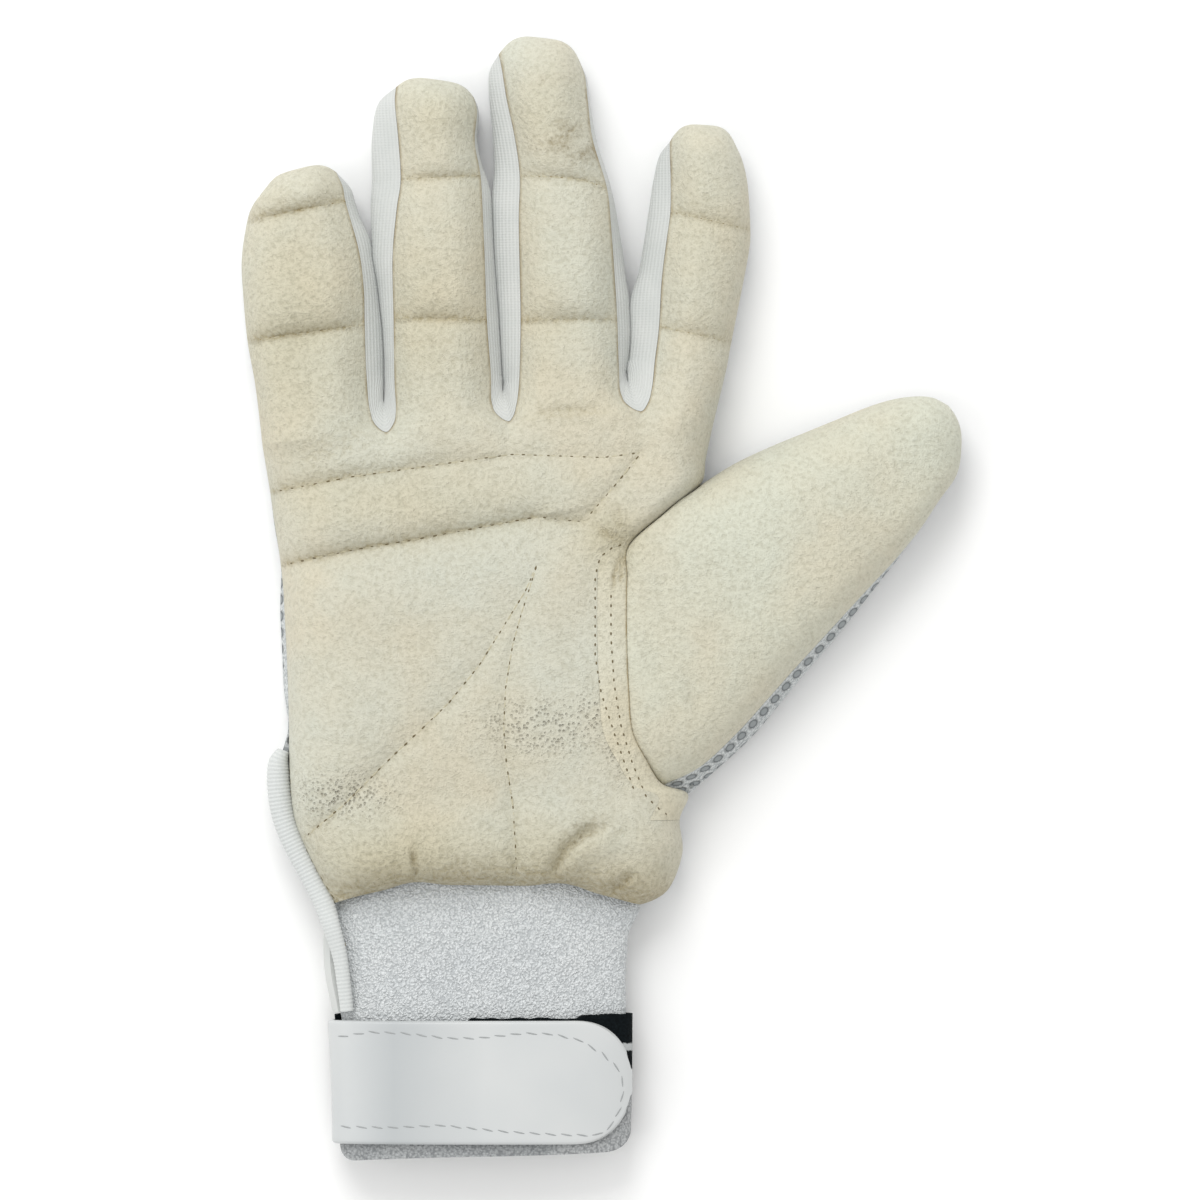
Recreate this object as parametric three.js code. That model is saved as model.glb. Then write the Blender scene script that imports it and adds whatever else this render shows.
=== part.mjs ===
import * as THREE from "three";

// Inner glove for a wicketkeeper's right hand, lying on its back with the palm up.
// Millimetres; +Y runs to the fingertips, +X to the thumb and +Z away from the palm.

// Sheets and seams
const chamoisThickness = 2.6;
const meshThickness = 1.8;
const gussetThickness = 1.2;
const bandThickness = 3.0;
const seamThickness = 1.2;
const seamGap = 0.3;
// Longest way back at a sharp corner is seamGap / leastInward
const leastInward = 0.7;

// How far a sheet takes to round over at each kind of edge
const gussetSeamRoll = 8;
const sideSeamRoll = 9;
const palmSideRoll = 14;
const thumbSeamRoll = 9;
const tipRoll = 9;
const backRoll = 5;
const tipBowPower = 2.8;

// Side strips between the fingers: height of their back seam, reach of the web at the crotch,
// and how much of the table's swelling each finger's strip and back panel take
const backSeamHeight = 3.5;
const webReach = 7;
const leftStripShare = 0.6;
const rightStripShare = 0.55;
const backSpreadLeft = 0.75;
const backSpreadRight = 0.5;

// Divisions
const fingerColumns = [0, 0.16, 0.5, 0.84, 1];
const rowsPerStation = 2;
const gussetColumns = [0, 0.3, 0.65, 1];
const thumbRowsPerStation = 1;

// Finger fronts, a row for each station from the crotch to the tip.
// left and right: ends of the row; leftSeam and rightSeam: their heights;
// leftOut and rightOut: how far the side strip stands out past the seam;
// bow: how far the middle of the row runs ahead; top: height of the crown.
const planColumns = ["leftX", "leftY", "rightX", "rightY", "leftSeam", "rightSeam"];
const stationColumns = [...planColumns, "leftOut", "rightOut", "bow", "top"];
const littleFinger = {
  leftGusset: false,
  rightGusset: true,
  stations: table(stationColumns, [
    [-75.4, 34.4, -47.6, 37.1, 5, 17, 0, 0, 0, 19.5],
    [-76.0, 40.0, -51.0, 41.0, 5, 15, 0, 2.4, 0, 19],
    [-77.1, 48.5, -52.1, 50.0, 5, 12.5, 0, 3.5, 0, 18.5],
    [-78.7, 57.5, -52.5, 61.0, 5, 12, 0, 3.2, 0, 18],
    [-79.6, 67.0, -52.7, 69.0, 5, 12, 0, 2.5, 0, 18],
    [-80.0, 75.5, -53.8, 77.5, 5, 11.5, 0, 2.7, 0, 17.5],
    [-78.9, 83.5, -56.7, 88.0, 5.5, 10.5, 0, 2.4, 0.5, 17],
    [-77.5, 87.6, -57.4, 91.6, 6.5, 9.5, 0, 1.8, 2, 17],
    [-74.6, 90.9, -58.9, 95.0, 8, 8, 0, 0, 2.9, 16],
  ]),
};

const ringFinger = {
  leftGusset: true,
  rightGusset: true,
  stations: table(stationColumns, [
    [-47.6, 37.1, -20.5, 39.5, 17, 17, 0, 0, 0, 19.5],
    [-45.6, 41.0, -24.1, 43.0, 15, 15, 1.9, 1.5, 0, 19],
    [-45.9, 49.0, -24.5, 50.0, 12.5, 12.5, 2.1, 1.8, 0, 18.5],
    [-46.1, 62.5, -25.4, 62.2, 12, 12, 2.3, 1.8, 0, 18],
    [-46.3, 76.0, -25.9, 76.0, 12, 12, 4.4, 1.7, 0, 18],
    [-45.4, 86.5, -26.3, 85.5, 12, 12, 6, 1.6, 0, 17.5],
    [-44.5, 93.2, -26.8, 94.1, 11.5, 11.5, 6.6, 1, 0, 17.5],
    [-45.0, 102.0, -28.1, 101.7, 11, 11, 6.2, 0.6, 0.5, 17],
    [-45.8, 110.2, -27.6, 108.3, 10, 10, 4.0, 0.4, 1.6, 17],
    [-45.6, 113.9, -28.3, 111.5, 8, 8, 0, 0, 2.9, 16],
  ]),
};

const middleFinger = {
  leftGusset: true,
  rightGusset: true,
  stations: table(stationColumns, [
    [-20.5, 39.5, 8.8, 41.7, 17, 17, 0, 0, 0, 19.5],
    [-19.0, 42.5, 4.6, 45.0, 15, 15, 2.3, 1.8, 0, 19],
    [-18.2, 49.0, 3.9, 51.0, 12.5, 12.5, 3.3, 2.0, 0, 18.5],
    [-17.9, 62.0, 3.5, 62.2, 12, 12, 4.2, 2.4, 0, 18],
    [-18.1, 73.3, 2.8, 73.7, 12, 12, 5.0, 2.7, 0, 18],
    [-18.3, 84.4, 2.1, 83.3, 12, 12, 5.4, 1.9, 0, 17.5],
    [-18.1, 94.1, 1.2, 91.5, 11.5, 11.5, 5.8, 1.1, 0, 17.5],
    [-19.2, 102.5, -1.9, 102.0, 11, 11, 5, 1, 0, 17.5],
    [-21.0, 111.0, -3.0, 110.5, 10.5, 10.5, 4, 0.5, 1, 17.5],
    [-22.0, 117.3, -3.6, 115.9, 9.5, 9.5, 3.0, 0.4, 2.6, 17],
    [-22.8, 121.2, -4.6, 119.0, 8, 8, 0, 0, 4.8, 16],
  ]),
};

const indexFinger = {
  leftGusset: true,
  rightGusset: false,
  stations: table(stationColumns, [
    [8.8, 41.7, 24.5, 37.7, 17, 6, 0, 0, 0, 19.5],
    [11.0, 46.0, 26.1, 44.4, 15, 6, 3.6, 0, 0, 19],
    [11.9, 53.3, 27.8, 51.5, 12.5, 6, 4.9, 0, 0, 18.5],
    [12.8, 60.6, 28.9, 57.5, 12, 6, 5.6, 0, 0, 18],
    [13.4, 71.0, 31.3, 69.5, 12, 6, 5.4, 0, 0, 18],
    [14.5, 80.0, 32.7, 77.0, 12, 6, 5.1, 0, 0, 17.5],
    [15.3, 86.0, 33.1, 82.0, 11.5, 6, 5, 0, 0.5, 17.5],
    [15.4, 93.0, 32.5, 92.0, 10.5, 6.5, 4, 0, 1, 17],
    [15.2, 98.7, 31.3, 97.6, 9.5, 7, 2.4, 0, 2.2, 17],
    [15.2, 101.8, 29.8, 100.9, 8, 8, 0, 0, 4.2, 16],
  ]),
};

// Palm, a row for each station from the finger crotches down to the heel.
const palmColumns = [...planColumns, "bow", "top"];
const palmFront = table(palmColumns, [
  [-75.4, 34.4, 24.5, 37.7, 5, 6, 0, 19.5],
  [-74.5, 29.0, 23.3, 31.5, 5, 6, 0, 19.5],
  [-73.6, 23.5, 23.0, 25.5, 5, 6, 0, 20],
  [-72.8, 17.0, 14.0, 19.1, 5, 12.5, 0, 20.5],
  [-72.3, 10.0, 6.1, 12.2, 5, 16.5, 0, 21],
  [-72.0, 3.0, 5.7, 5.0, 5, 17.5, 0, 21.5],
  [-71.7, -4.5, 5.6, -3.0, 5, 18, 0, 21.5],
  [-71.3, -12.0, 5.7, -11.0, 5, 18, 0, 21.5],
  [-70.8, -20.0, 6.1, -20.0, 5, 18, 0, 21.5],
  [-70.2, -28.0, 6.9, -29.0, 5, 17.5, 0, 21.5],
  [-69.6, -36.0, 10.0, -35.4, 7, 15.5, 0, 21],
  [-69.0, -43.0, 13.4, -40.6, 8, 11.5, 0, 20.5],
  [-68.2, -48.5, 16.8, -45.4, 8.5, 7, 0, 20.5],
  [-66.5, -53.3, 18.4, -52.0, 9, 6, 1, 21],
  [-63.8, -59.0, 17.4, -59.0, 9.5, 6, 2, 21],
  [-61.4, -63.8, 14.5, -64.5, 9.5, 6, 3.2, 19.5],
  [-59.4, -67.3, 10.8, -68.0, 10, 7, 4.5, 16.5],
]);
const webRow = 2;
const thumbCrotchRow = 4;
const thumbHeelRow = 12;
const bandWidth = 4.6;
const crotchBlendRows = 3;

// Back of the hand, the same rows; its left edge leaves the palm's along the side vent,
// and its right edge runs under the thumb.
const palmBack = table(palmColumns, [
  [-75.4, 34.4, 24.5, 37.7, 5, 6, 0, 0],
  [-74.5, 29.0, 23.3, 31.5, 5, 6, 0, 0],
  [-73.6, 23.5, 23.0, 25.5, 5, 6, 0, 0],
  [-72.8, 17.0, 22.5, 19.0, 5, 4.5, 0, 0],
  [-72.3, 10.0, 21.8, 12.5, 5, 3.5, 0, 0],
  [-72.0, 3.0, 21.3, 5.0, 5, 3.5, 0, 0],
  [-71.7, -4.5, 20.9, -3.0, 5, 3.5, 0, 0],
  [-71.3, -12.0, 20.5, -11.0, 5, 3.5, 0, 0],
  [-70.8, -20.0, 20.0, -20.0, 5, 3.5, 0, 0],
  [-70.2, -28.0, 19.5, -29.0, 5, 3.5, 0, 0],
  [-71.6, -36.0, 19.0, -35.4, 3.5, 3.5, 0, 0],
  [-72.2, -43.0, 18.3, -41.0, 3.5, 4.5, 0, 0],
  [-71.4, -49.0, 16.8, -45.4, 3.5, 7, 0, 0],
  [-69.2, -53.5, 18.4, -52.0, 3.5, 6, 0, 0],
  [-66.0, -59.5, 17.4, -59.0, 3.5, 6, 0, 0],
  [-63.2, -64.5, 14.5, -64.5, 3.5, 6, 0, 0],
  [-61.6, -68.3, 10.8, -68.0, 3.5, 7, 0, 0],
]);

// Thumb, a row for each station from the palm seam to the tip; left is the edge towards
// the index finger, right is the lower edge where the mesh back shows.
const thumbStations = table(stationColumns, [
  [23.0, 25.5, 16.8, -45.4, 6, 7, 0, 1.5, 0, 21],
  [29.4, 30.2, 22.2, -37.4, 6, 9, 0, 4.8, 0, 21.5],
  [37.4, 34.0, 29.4, -28.6, 6, 10, 0, 4.6, 0, 21.5],
  [45.2, 37.2, 36.3, -21.8, 6, 10, 0, 4.3, 0, 21],
  [51.8, 39.9, 43.0, -15.1, 6, 10, 0, 4.0, 0, 20.5],
  [58.7, 42.7, 50.7, -6.7, 6, 10, 0, 3.3, 0, 20],
  [64.0, 44.4, 58.7, 2.0, 6, 9.5, 0, 2.2, 0, 19],
  [68.9, 45.2, 65.6, 9.4, 6.5, 9, 0, 1, 0.5, 18],
  [73.4, 45.0, 71.3, 16.5, 7, 8.5, 0, 0.4, 1.4, 17],
  [77.0, 43.2, 75.6, 23.5, 8, 8, 0, 0, 3.6, 16],
]);
const thumbCreaseRows = 0.9;
const thumbBendRows = 3;
// Under the thumb: height of its back over the floor, and the share of the back that lies
// under before it turns up the side, how far that share is drawn in, and the side's swelling.
const thumbFloor = 1.5;
const thumbTipLift = 4;
const thumbSideShare = 0.7;
const thumbInset = 5;
const thumbInsetSwell = 0.8;
const thumbSideSwell = 4;
const thumbUpperRoll = 0.22;

// Quilting seams of the palm, in plan.
const quiltSeams = [
  [
    [-72.5, 24.0], [-54.9, 27.3], [-40.5, 29.3], [-29.4, 30.9], [-19.6, 32.2], [0.3, 31.5],
    [8.8, 32.6], [3.7, 26.2], [-3.2, 18.2],
  ],
  [
    [-70.3, 7.8], [-54.9, 11.1], [-41.6, 13.3], [-27.2, 16.0], [-14.1, 18.4], [-9.7, 17.8],
    [-4.1, 17.3],
  ],
  [
    [-14.1, 8.2], [-16.8, 2.0], [-21.6, -5.8], [-27.2, -14.7], [-33.9, -22.9], [-39.4, -28.2],
    [-47.2, -35.5], [-57.2, -45.5], [-66.0, -52.8],
  ],
  [
    [-14.1, 8.2], [-17.6, -2.7], [-19.6, -9.8], [-21.2, -19.5], [-21.6, -28.4], [-21.0, -36.2],
    [-19.6, -45.3], [-19.0, -54.6], [-18.8, -62.0],
  ],
  [[-76.7, 84.4], [-56.7, 88.5]],
  [[-77.2, 57.5], [-52.7, 61.0]],
  [[-44.5, 93.2], [-26.8, 94.1]],
  [[-46.1, 62.5], [-25.4, 62.2]],
  [[-18.1, 94.1], [1.2, 91.5]],
  [[-17.9, 62.0], [3.5, 62.2]],
  [[15.3, 86.0], [33.0, 82.0]],
  [[12.8, 60.6], [28.5, 57.2]],
];
const quiltDepth = 3;
const quiltReach = 3;

// Wrist sleeve: sections across the wrist from under the heel to the mouth.
const wristColumns = ["y", "left", "right", "bottom", "top"];
const wrist = table(wristColumns, [
  [-61, -54.5, 4.0, 2.3, 12.6],
  [-66, -56.5, 6.2, 2.2, 12.8],
  [-71, -59.3, 7.0, 2.0, 13],
  [-76, -59.9, 5.8, 1.8, 13.2],
  [-83, -59.5, 5.4, 1.8, 13.2],
  [-92, -57.8, 5.4, 1.8, 13.2],
  [-106, -56.9, 5.3, 1.8, 13.2],
  [-121, -56.6, 5.0, 1.8, 13],
  [-126, -56.8, 4.4, 1.8, 12.9],
]);
const wristSquareness = 2.6;
const wristFacets = 32;
const cuffThickness = 2;
const cuffMouthY = -121;

// Knitted fold under the binding, the dark elastic band, the loop patch and the strap. Facets
// count round the wrist; a turn is the length over which a corner is rounded.
const knitFold = {
  thickness: 1.6,
  rows: [-70.5, -75, -81, -91.4],
  firstFacet: 14.3,
  lastFacet: 21,
  divisions: 6,
};
const bandRing = {
  thickness: 1.2,
  upperY: -91.8,
  frontLowerY: -104.2,
  backLowerY: -117.5,
  rows: [0, 0.5, 1],
};
const loopPatch = {
  thickness: 1.2,
  upperY: -104.7,
  leftLowerY: -125,
  rightLowerY: -121.6,
  corner: 4.6,
  rightTurn: 0.18,
  leftTurn: 0.1,
  firstFacet: -1,
  lastFacet: 17,
  rows: [0, 0.35, 0.7, 1],
};
const strapShape = {
  thickness: 1.4,
  midY: -106.9,
  halfWidth: 13.7,
  bodyEndX: -6,
  endX: 6.9,
  endHalfWidth: 3.2,
  endPower: 2.4,
  rows: [-1, -0.5, 0, 0.5, 1],
  facets: [1.8, 2.4, 3, 4, 5, 6, 7, 8, 9, 10, 11, 12, 13, 14, 15, 16, 17],
};

// Ribbed binding of the side vent, a row for each station from its upper end to the wrist.
const bindingColumns = ["x", "y", "z", "width", "height", "roll"];
const bindingStations = table(bindingColumns, [
  [-71.1, -33.8, 7.4, 2.4, 2.4, 0],
  [-72.0, -37.6, 7.2, 3.8, 3.8, 0],
  [-71.8, -43.0, 7.2, 4.2, 4.2, 0],
  [-70.9, -48.7, 7.3, 4.2, 4.2, 0],
  [-68.4, -54.6, 7.9, 4.2, 4.2, 0],
  [-65.1, -61.0, 8.2, 4.2, 4.0, 0],
  [-62.1, -67.0, 10.2, 4.0, 3.4, 12],
  [-60.0, -72.5, 12.4, 3.8, 2.6, 24],
  [-58.0, -79.0, 12.5, 3.5, 2.4, 24],
  [-57.0, -86.0, 12.4, 3.2, 2.4, 22],
  [-56.4, -91.2, 12.3, 3.0, 2.4, 20],
]);
const bindingFacets = 10;
const bindingRowsPerStation = 2;
const bindingStep = 0.1;

const surfaces = {
  chamois: { color: 0xd6d3bf, roughness: 0.95, metalness: 0 },
  chamoisBand: { color: 0xd2cba9, roughness: 0.92, metalness: 0 },
  knit: { color: 0xdde0dd, roughness: 0.85, metalness: 0 },
  mesh: { color: 0xcdd0d0, roughness: 0.8, metalness: 0 },
  boucle: { color: 0xcfd3d2, roughness: 0.95, metalness: 0 },
  ribbed: { color: 0xd6d9d8, roughness: 0.85, metalness: 0 },
  dark: { color: 0x1b1f22, roughness: 0.8, metalness: 0 },
  loop: { color: 0xb9bbba, roughness: 0.95, metalness: 0 },
  coated: { color: 0xe2e5e3, roughness: 0.4, metalness: 0 },
};

function table(columns, rows) {
  return rows.map((values) => Object.fromEntries(columns.map((name, k) => [name, values[k]])));
}

function mix(a, b, k) {
  return a + (b - a) * k;
}

// Smooth curve through a table: each column by Catmull-Rom at row position t.
function sample(rows, t) {
  const last = rows.length - 1;
  const i = Math.min(Math.floor(t), last - 1);
  const k = t - i;
  const at = (n) => rows[Math.max(0, Math.min(last, n))];
  const result = {};
  for (const name of Object.keys(rows[0])) {
    const [a, b, c, d] = [at(i - 1)[name], at(i)[name], at(i + 1)[name], at(i + 2)[name]];
    const square = 2 * a - 5 * b + 4 * c - d;
    const cube = 3 * b - a - 3 * c + d;
    result[name] = (2 * b + (c - a) * k + square * k * k + cube * k ** 3) / 2;
  }
  return result;
}

// 0 at an edge to 1 where the sheet is level: round rolls over as a quarter of an ellipse,
// the other kind as a parabola that leaves a crease at a seam.
function rise(distance, reach, round) {
  const rest = 1 - Math.min(Math.max(distance / reach, 0), 1);
  return round ? Math.sqrt(1 - rest * rest) : 1 - rest * rest;
}

// Dip of the quilting at a point in plan: deepest on a seam, fading with distance.
function quiltDip(x, y) {
  let nearest = Infinity;
  for (const seam of quiltSeams) {
    for (let i = 0; i + 1 < seam.length; i += 1) {
      const [ax, ay] = seam[i];
      const [bx, by] = seam[i + 1];
      const length2 = (bx - ax) ** 2 + (by - ay) ** 2;
      const k = Math.min(Math.max(((x - ax) * (bx - ax) + (y - ay) * (by - ay)) / length2, 0), 1);
      nearest = Math.min(nearest, Math.hypot(x - mix(ax, bx, k), y - mix(ay, by, k)));
    }
  }
  return quiltDepth * Math.exp(-nearest / quiltReach);
}

// A row of a panel in plan: straight between its ends, bowed ahead in the middle.
function rowPoint(row, k) {
  const dx = row.rightX - row.leftX;
  const dy = row.rightY - row.leftY;
  const width = Math.hypot(dx, dy);
  const bow = row.bow * (1 - Math.abs(2 * k - 1) ** tipBowPower);
  return {
    x: row.leftX + dx * k - (dy / width) * bow,
    y: row.leftY + dy * k + (dx / width) * bow,
    width,
  };
}

function tipDistance(rows, t) {
  const here = rowPoint(sample(rows, t), 0.5);
  const tip = rowPoint(rows[rows.length - 1], 0.5);
  return Math.hypot(tip.x - here.x, tip.y - here.y);
}

// Front of a finger: a crown over the seam heights, rolling over at the sides and the tip.
function fingerFront(finger, t, k) {
  const row = sample(finger.stations, t);
  const { x, y, width } = rowPoint(row, k);
  const leftRoll = finger.leftGusset ? gussetSeamRoll : sideSeamRoll;
  const rightRoll = finger.rightGusset ? gussetSeamRoll : sideSeamRoll;
  const left = rise(k * width, leftRoll, !finger.leftGusset);
  const right = rise((1 - k) * width, rightRoll, !finger.rightGusset);
  const tip = rise(tipDistance(finger.stations, t), tipRoll, true);
  const base = mix(row.leftSeam, row.rightSeam, k);
  const z = base + (row.top - quiltDip(x, y) - base) * left * right * tip;
  return new THREE.Vector3(x, y, z);
}

// Back of a finger: level with the floor, turning up to its seams.
function fingerBack(finger, t, k) {
  const row = sample(finger.stations, t);
  const last = finger.stations.length - 1;
  const towardTip = Math.max(0, t - last + 1) ** 2;
  const spread = {
    ...row,
    leftX: row.leftX - backSpreadLeft * row.leftOut,
    rightX: row.rightX + backSpreadRight * row.rightOut,
  };
  const { x, y, width } = rowPoint(spread, k);
  const level = rise(k * width, backRoll, true) * rise((1 - k) * width, backRoll, true);
  const tip = rise(tipDistance(finger.stations, t), tipRoll, true);
  const raised = t === 0 ? 0 : towardTip;
  const left = finger.leftGusset ? mix(backSeamHeight, row.leftSeam, raised) : row.leftSeam;
  const right = finger.rightGusset ? mix(backSeamHeight, row.rightSeam, raised) : row.rightSeam;
  return new THREE.Vector3(x, y, mix(left, right, k) * (1 - level * tip));
}

const fingers = [littleFinger, ringFinger, middleFinger, indexFinger];

// Where a palm column stands across the first row, as a part of the row's length.
function columnShare(column) {
  const finger = Math.min(Math.floor(column), fingers.length - 1);
  const first = palmFront[0];
  const row = fingers[finger].stations[0];
  const x = mix(row.leftX, row.rightX, column - finger);
  return (x - first.leftX) / (first.rightX - first.leftX);
}

// Palm: column counts in fingers from 0 to 4, t in rows down from the crotches. The first
// rows follow the finger bases, and the last column narrows to the folded band.
function palmPoint(rows, onFinger, shape, t, column, bandColumn) {
  const row = sample(rows, t);
  const length = Math.hypot(row.rightX - row.leftX, row.rightY - row.leftY);
  const edge = columnShare(bandColumn);
  const share = columnShare(column);
  const narrow = Math.min(1, t / thumbCrotchRow) ** 2;
  const bandEdge = mix(edge, 1 - bandWidth / length, narrow);
  const k = share <= edge ? (share / edge) * bandEdge : mix(bandEdge, 1, (share - edge) / (1 - edge));
  const { x, y } = rowPoint(row, k);
  const finger = Math.min(Math.floor(column), fingers.length - 1);
  const base = onFinger(fingers[finger], 0, column - finger);
  const straight = rowPoint(rows[0], share);
  const blend = Math.max(0, 1 - t / crotchBlendRows) ** 2;
  const px = x + (base.x - straight.x) * blend;
  const py = y + (base.y - straight.y) * blend;
  return new THREE.Vector3(px, py, mix(shape(row, k, length, px, py), base.z, blend));
}

function palmFrontHeight(row, k, length, x, y) {
  const base = mix(row.leftSeam, row.rightSeam, k);
  const left = rise(k * length, palmSideRoll, true);
  const right = rise((1 - k) * length, thumbSeamRoll, true);
  return base + (row.top - quiltDip(x, y) - base) * left * right;
}

function palmBackHeight(row, k, length) {
  const level = rise(k * length, backRoll, true) * rise((1 - k) * length, backRoll, true);
  return mix(row.leftSeam, row.rightSeam, k) * (1 - level);
}

// Side strip between two fingers: from the tip of one down to the crotch and up the next;
// k runs from the front seam to the back seam, swelling outwards between them.
function gussetPoint(leftNeighbour, rightNeighbour, s, k) {
  const onLeft = s < 0;
  const finger = onLeft ? leftNeighbour : rightNeighbour;
  const t = Math.abs(s);
  const row = sample(finger.stations, t);
  const front = fingerFront(finger, t, onLeft ? 1 : 0);
  const back = fingerBack(finger, t, onLeft ? 1 : 0);
  const swell = Math.sin(Math.PI * k);
  const out = onLeft ? leftStripShare * row.rightOut : -rightStripShare * row.leftOut;
  const web = webReach * Math.max(0, 1 - (t / rowsPerStation) ** 2);
  return front.lerp(back, k).add(new THREE.Vector3(out * swell, web * swell, 0));
}

// Thumb front: the first row is the palm's seam, and the rows straighten towards the tip.
function thumbFront(t, k) {
  const row = sample(thumbStations, t);
  const { x, y, width } = rowPoint(row, k);
  const seam = palmPointFront(mix(webRow, thumbHeelRow, k), fingers.length);
  const chord = rowPoint(thumbStations[0], k);
  const bend = Math.max(0, 1 - t / thumbBendRows) ** 2;
  const crease = Math.max(0, 1 - t / thumbCreaseRows) ** 2;
  const sides = rise(k * width, sideSeamRoll, true) * rise((1 - k) * width, sideSeamRoll, true);
  const tip = rise(tipDistance(thumbStations, t), tipRoll, true);
  const base = mix(row.leftSeam, row.rightSeam, k);
  const z = base + (row.top - base) * sides * tip;
  const px = x + (seam.x - chord.x) * bend;
  const py = y + (seam.y - chord.y) * bend;
  return new THREE.Vector3(px, py, mix(z, seam.z, crease));
}

// Thumb back: under the thumb from the upper edge, swelling out past the lower seam.
function thumbBack(t, k) {
  const row = sample(thumbStations, t);
  const last = thumbStations.length - 1;
  const width = rowPoint(row, 0).width;
  const turn = Math.max(0, (k - thumbSideShare) / (1 - thumbSideShare));
  const inset = thumbInset * Math.min(1, t) * (1 - Math.max(0, t - last + 2) / 2);
  const swell = thumbSideSwell * row.rightOut + thumbInsetSwell * inset;
  const side = -inset * (1 - turn) ** 2 + swell * turn * (1 - turn);
  const section = k < thumbSideShare ? (k / thumbSideShare) * (width - inset) : width + side;
  const across = mix(section, k * width, Math.max(0, t - last + 1));
  const { x, y } = rowPoint(row, across / width);
  const floor = thumbFloor + thumbTipLift * (Math.max(0, t - last + 3) / 3) ** 2;
  const under = mix(row.leftSeam, floor, rise(k, thumbUpperRoll, true));
  const risen = floor * (1 - turn * turn) + row.rightSeam * turn * turn;
  const tip = rise(tipDistance(thumbStations, t), tipRoll, true);
  const edge = mix(row.leftSeam, row.rightSeam, k);
  const z = mix(edge, k < thumbSideShare ? under : risen, tip);
  const seam = palmPointBack(mix(webRow, thumbHeelRow, k), fingers.length);
  const chord = rowPoint(thumbStations[0], across / width);
  const bend = Math.max(0, 1 - t / thumbBendRows) ** 2;
  const join = Math.max(0, 1 - t) ** 2;
  const px = x + (seam.x - chord.x) * bend;
  const py = y + (seam.y - chord.y) * bend;
  return new THREE.Vector3(px, py, mix(z, seam.z, join));
}

const bandColumn = fingers.length - 1 + fingerColumns[fingerColumns.length - 2];

function palmPointFront(t, column) {
  return palmPoint(palmFront, fingerFront, palmFrontHeight, t, column, bandColumn);
}

function palmPointBack(t, column) {
  return palmPoint(palmBack, fingerBack, palmBackHeight, t, column, bandColumn);
}

// Grid of points, rows by columns, from a function of the row and column positions.
function grid(rowPositions, columnPositions, place) {
  return rowPositions.map((t) => columnPositions.map((k) => place(t, k)));
}

function steps(from, to, count) {
  return Array.from({ length: count + 1 }, (_, i) => from + ((to - from) * i) / count);
}

function pointKey(p) {
  return `${p.x.toFixed(2)},${p.y.toFixed(2)},${p.z.toFixed(2)}`;
}

// The sheets of the pouch share their seam points, so one set of normals serves them all.
const skinNormals = new Map();

function gridTriangles(points, flip) {
  const triangles = [];
  for (let i = 0; i + 1 < points.length; i += 1) {
    for (let j = 0; j + 1 < points[0].length; j += 1) {
      const quad = [points[i][j], points[i][j + 1], points[i + 1][j + 1], points[i + 1][j]];
      const corners = flip ? [quad[0], quad[3], quad[2], quad[1]] : quad;
      triangles.push([corners[0], corners[1], corners[2]], [corners[0], corners[2], corners[3]]);
    }
  }
  return triangles.filter((abc) => new Set(abc.map(pointKey)).size === 3);
}

function addNormals(triangles) {
  for (const [a, b, c] of triangles) {
    const normal = b.clone().sub(a).cross(c.clone().sub(a));
    for (const p of [a, b, c]) {
      const key = pointKey(p);
      if (!skinNormals.has(key)) {
        skinNormals.set(key, new THREE.Vector3());
      }
      skinNormals.get(key).add(normal);
    }
  }
}

// Panel of the pouch: outer face, inner face at the sheet's thickness, and walls round its
// edges, which are pressed thin and drawn back by half of the seam gap.
function sheetPanel(triangles, thickness) {
  const indexOf = new Map();
  const corners = [];
  const faces = triangles.map((abc) => abc.map((p) => {
    const key = pointKey(p);
    if (!indexOf.has(key)) {
      indexOf.set(key, corners.length);
      corners.push(p);
    }
    return indexOf.get(key);
  }));
  const used = new Set(faces.flatMap(([a, b, c]) => [`${a},${b}`, `${b},${c}`, `${c},${a}`]));
  const inward = corners.map(() => new THREE.Vector3());
  const rim = [];
  for (const face of faces) {
    for (let n = 0; n < 3; n += 1) {
      const [a, b, c] = [face[n], face[(n + 1) % 3], face[(n + 2) % 3]];
      if (!used.has(`${b},${a}`)) {
        rim.push([a, b]);
        const along = corners[b].clone().sub(corners[a]).normalize();
        const into = corners[c].clone().sub(corners[a]);
        into.addScaledVector(along, -into.dot(along)).normalize();
        inward[a].add(into);
        inward[b].add(into);
      }
    }
  }
  const outer = corners.map((p, n) => {
    const length = Math.max(inward[n].length(), leastInward);
    const drawn = p.clone().addScaledVector(inward[n], seamGap / length ** 2);
    drawn.z = Math.max(drawn.z, 0);
    return drawn;
  });
  const inner = outer.map((p, n) => {
    const normal = skinNormals.get(pointKey(corners[n])).clone().normalize();
    const depth = inward[n].length() > 0 ? Math.min(seamThickness, thickness) : thickness;
    return p.clone().addScaledVector(normal, -depth);
  });
  const count = outer.length;
  const indices = [];
  for (const [a, b, c] of faces) {
    indices.push(a, b, c, a + count, c + count, b + count);
  }
  for (const [a, b] of rim) {
    if (pointKey(corners[a]) < pointKey(corners[b])) {
      indices.push(b, a, b + count, a, a + count, b + count);
    } else {
      indices.push(b, a, a + count, b, a + count, b + count);
    }
  }
  return buildGeometry([...outer, ...inner], indices);
}

function buildGeometry(points, indices) {
  const geometry = new THREE.BufferGeometry();
  const coordinates = points.flatMap((p) => [p.x, p.y, p.z]);
  geometry.setAttribute("position", new THREE.Float32BufferAttribute(coordinates, 3));
  geometry.setIndex(indices);
  geometry.computeVertexNormals();
  return geometry;
}

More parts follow.
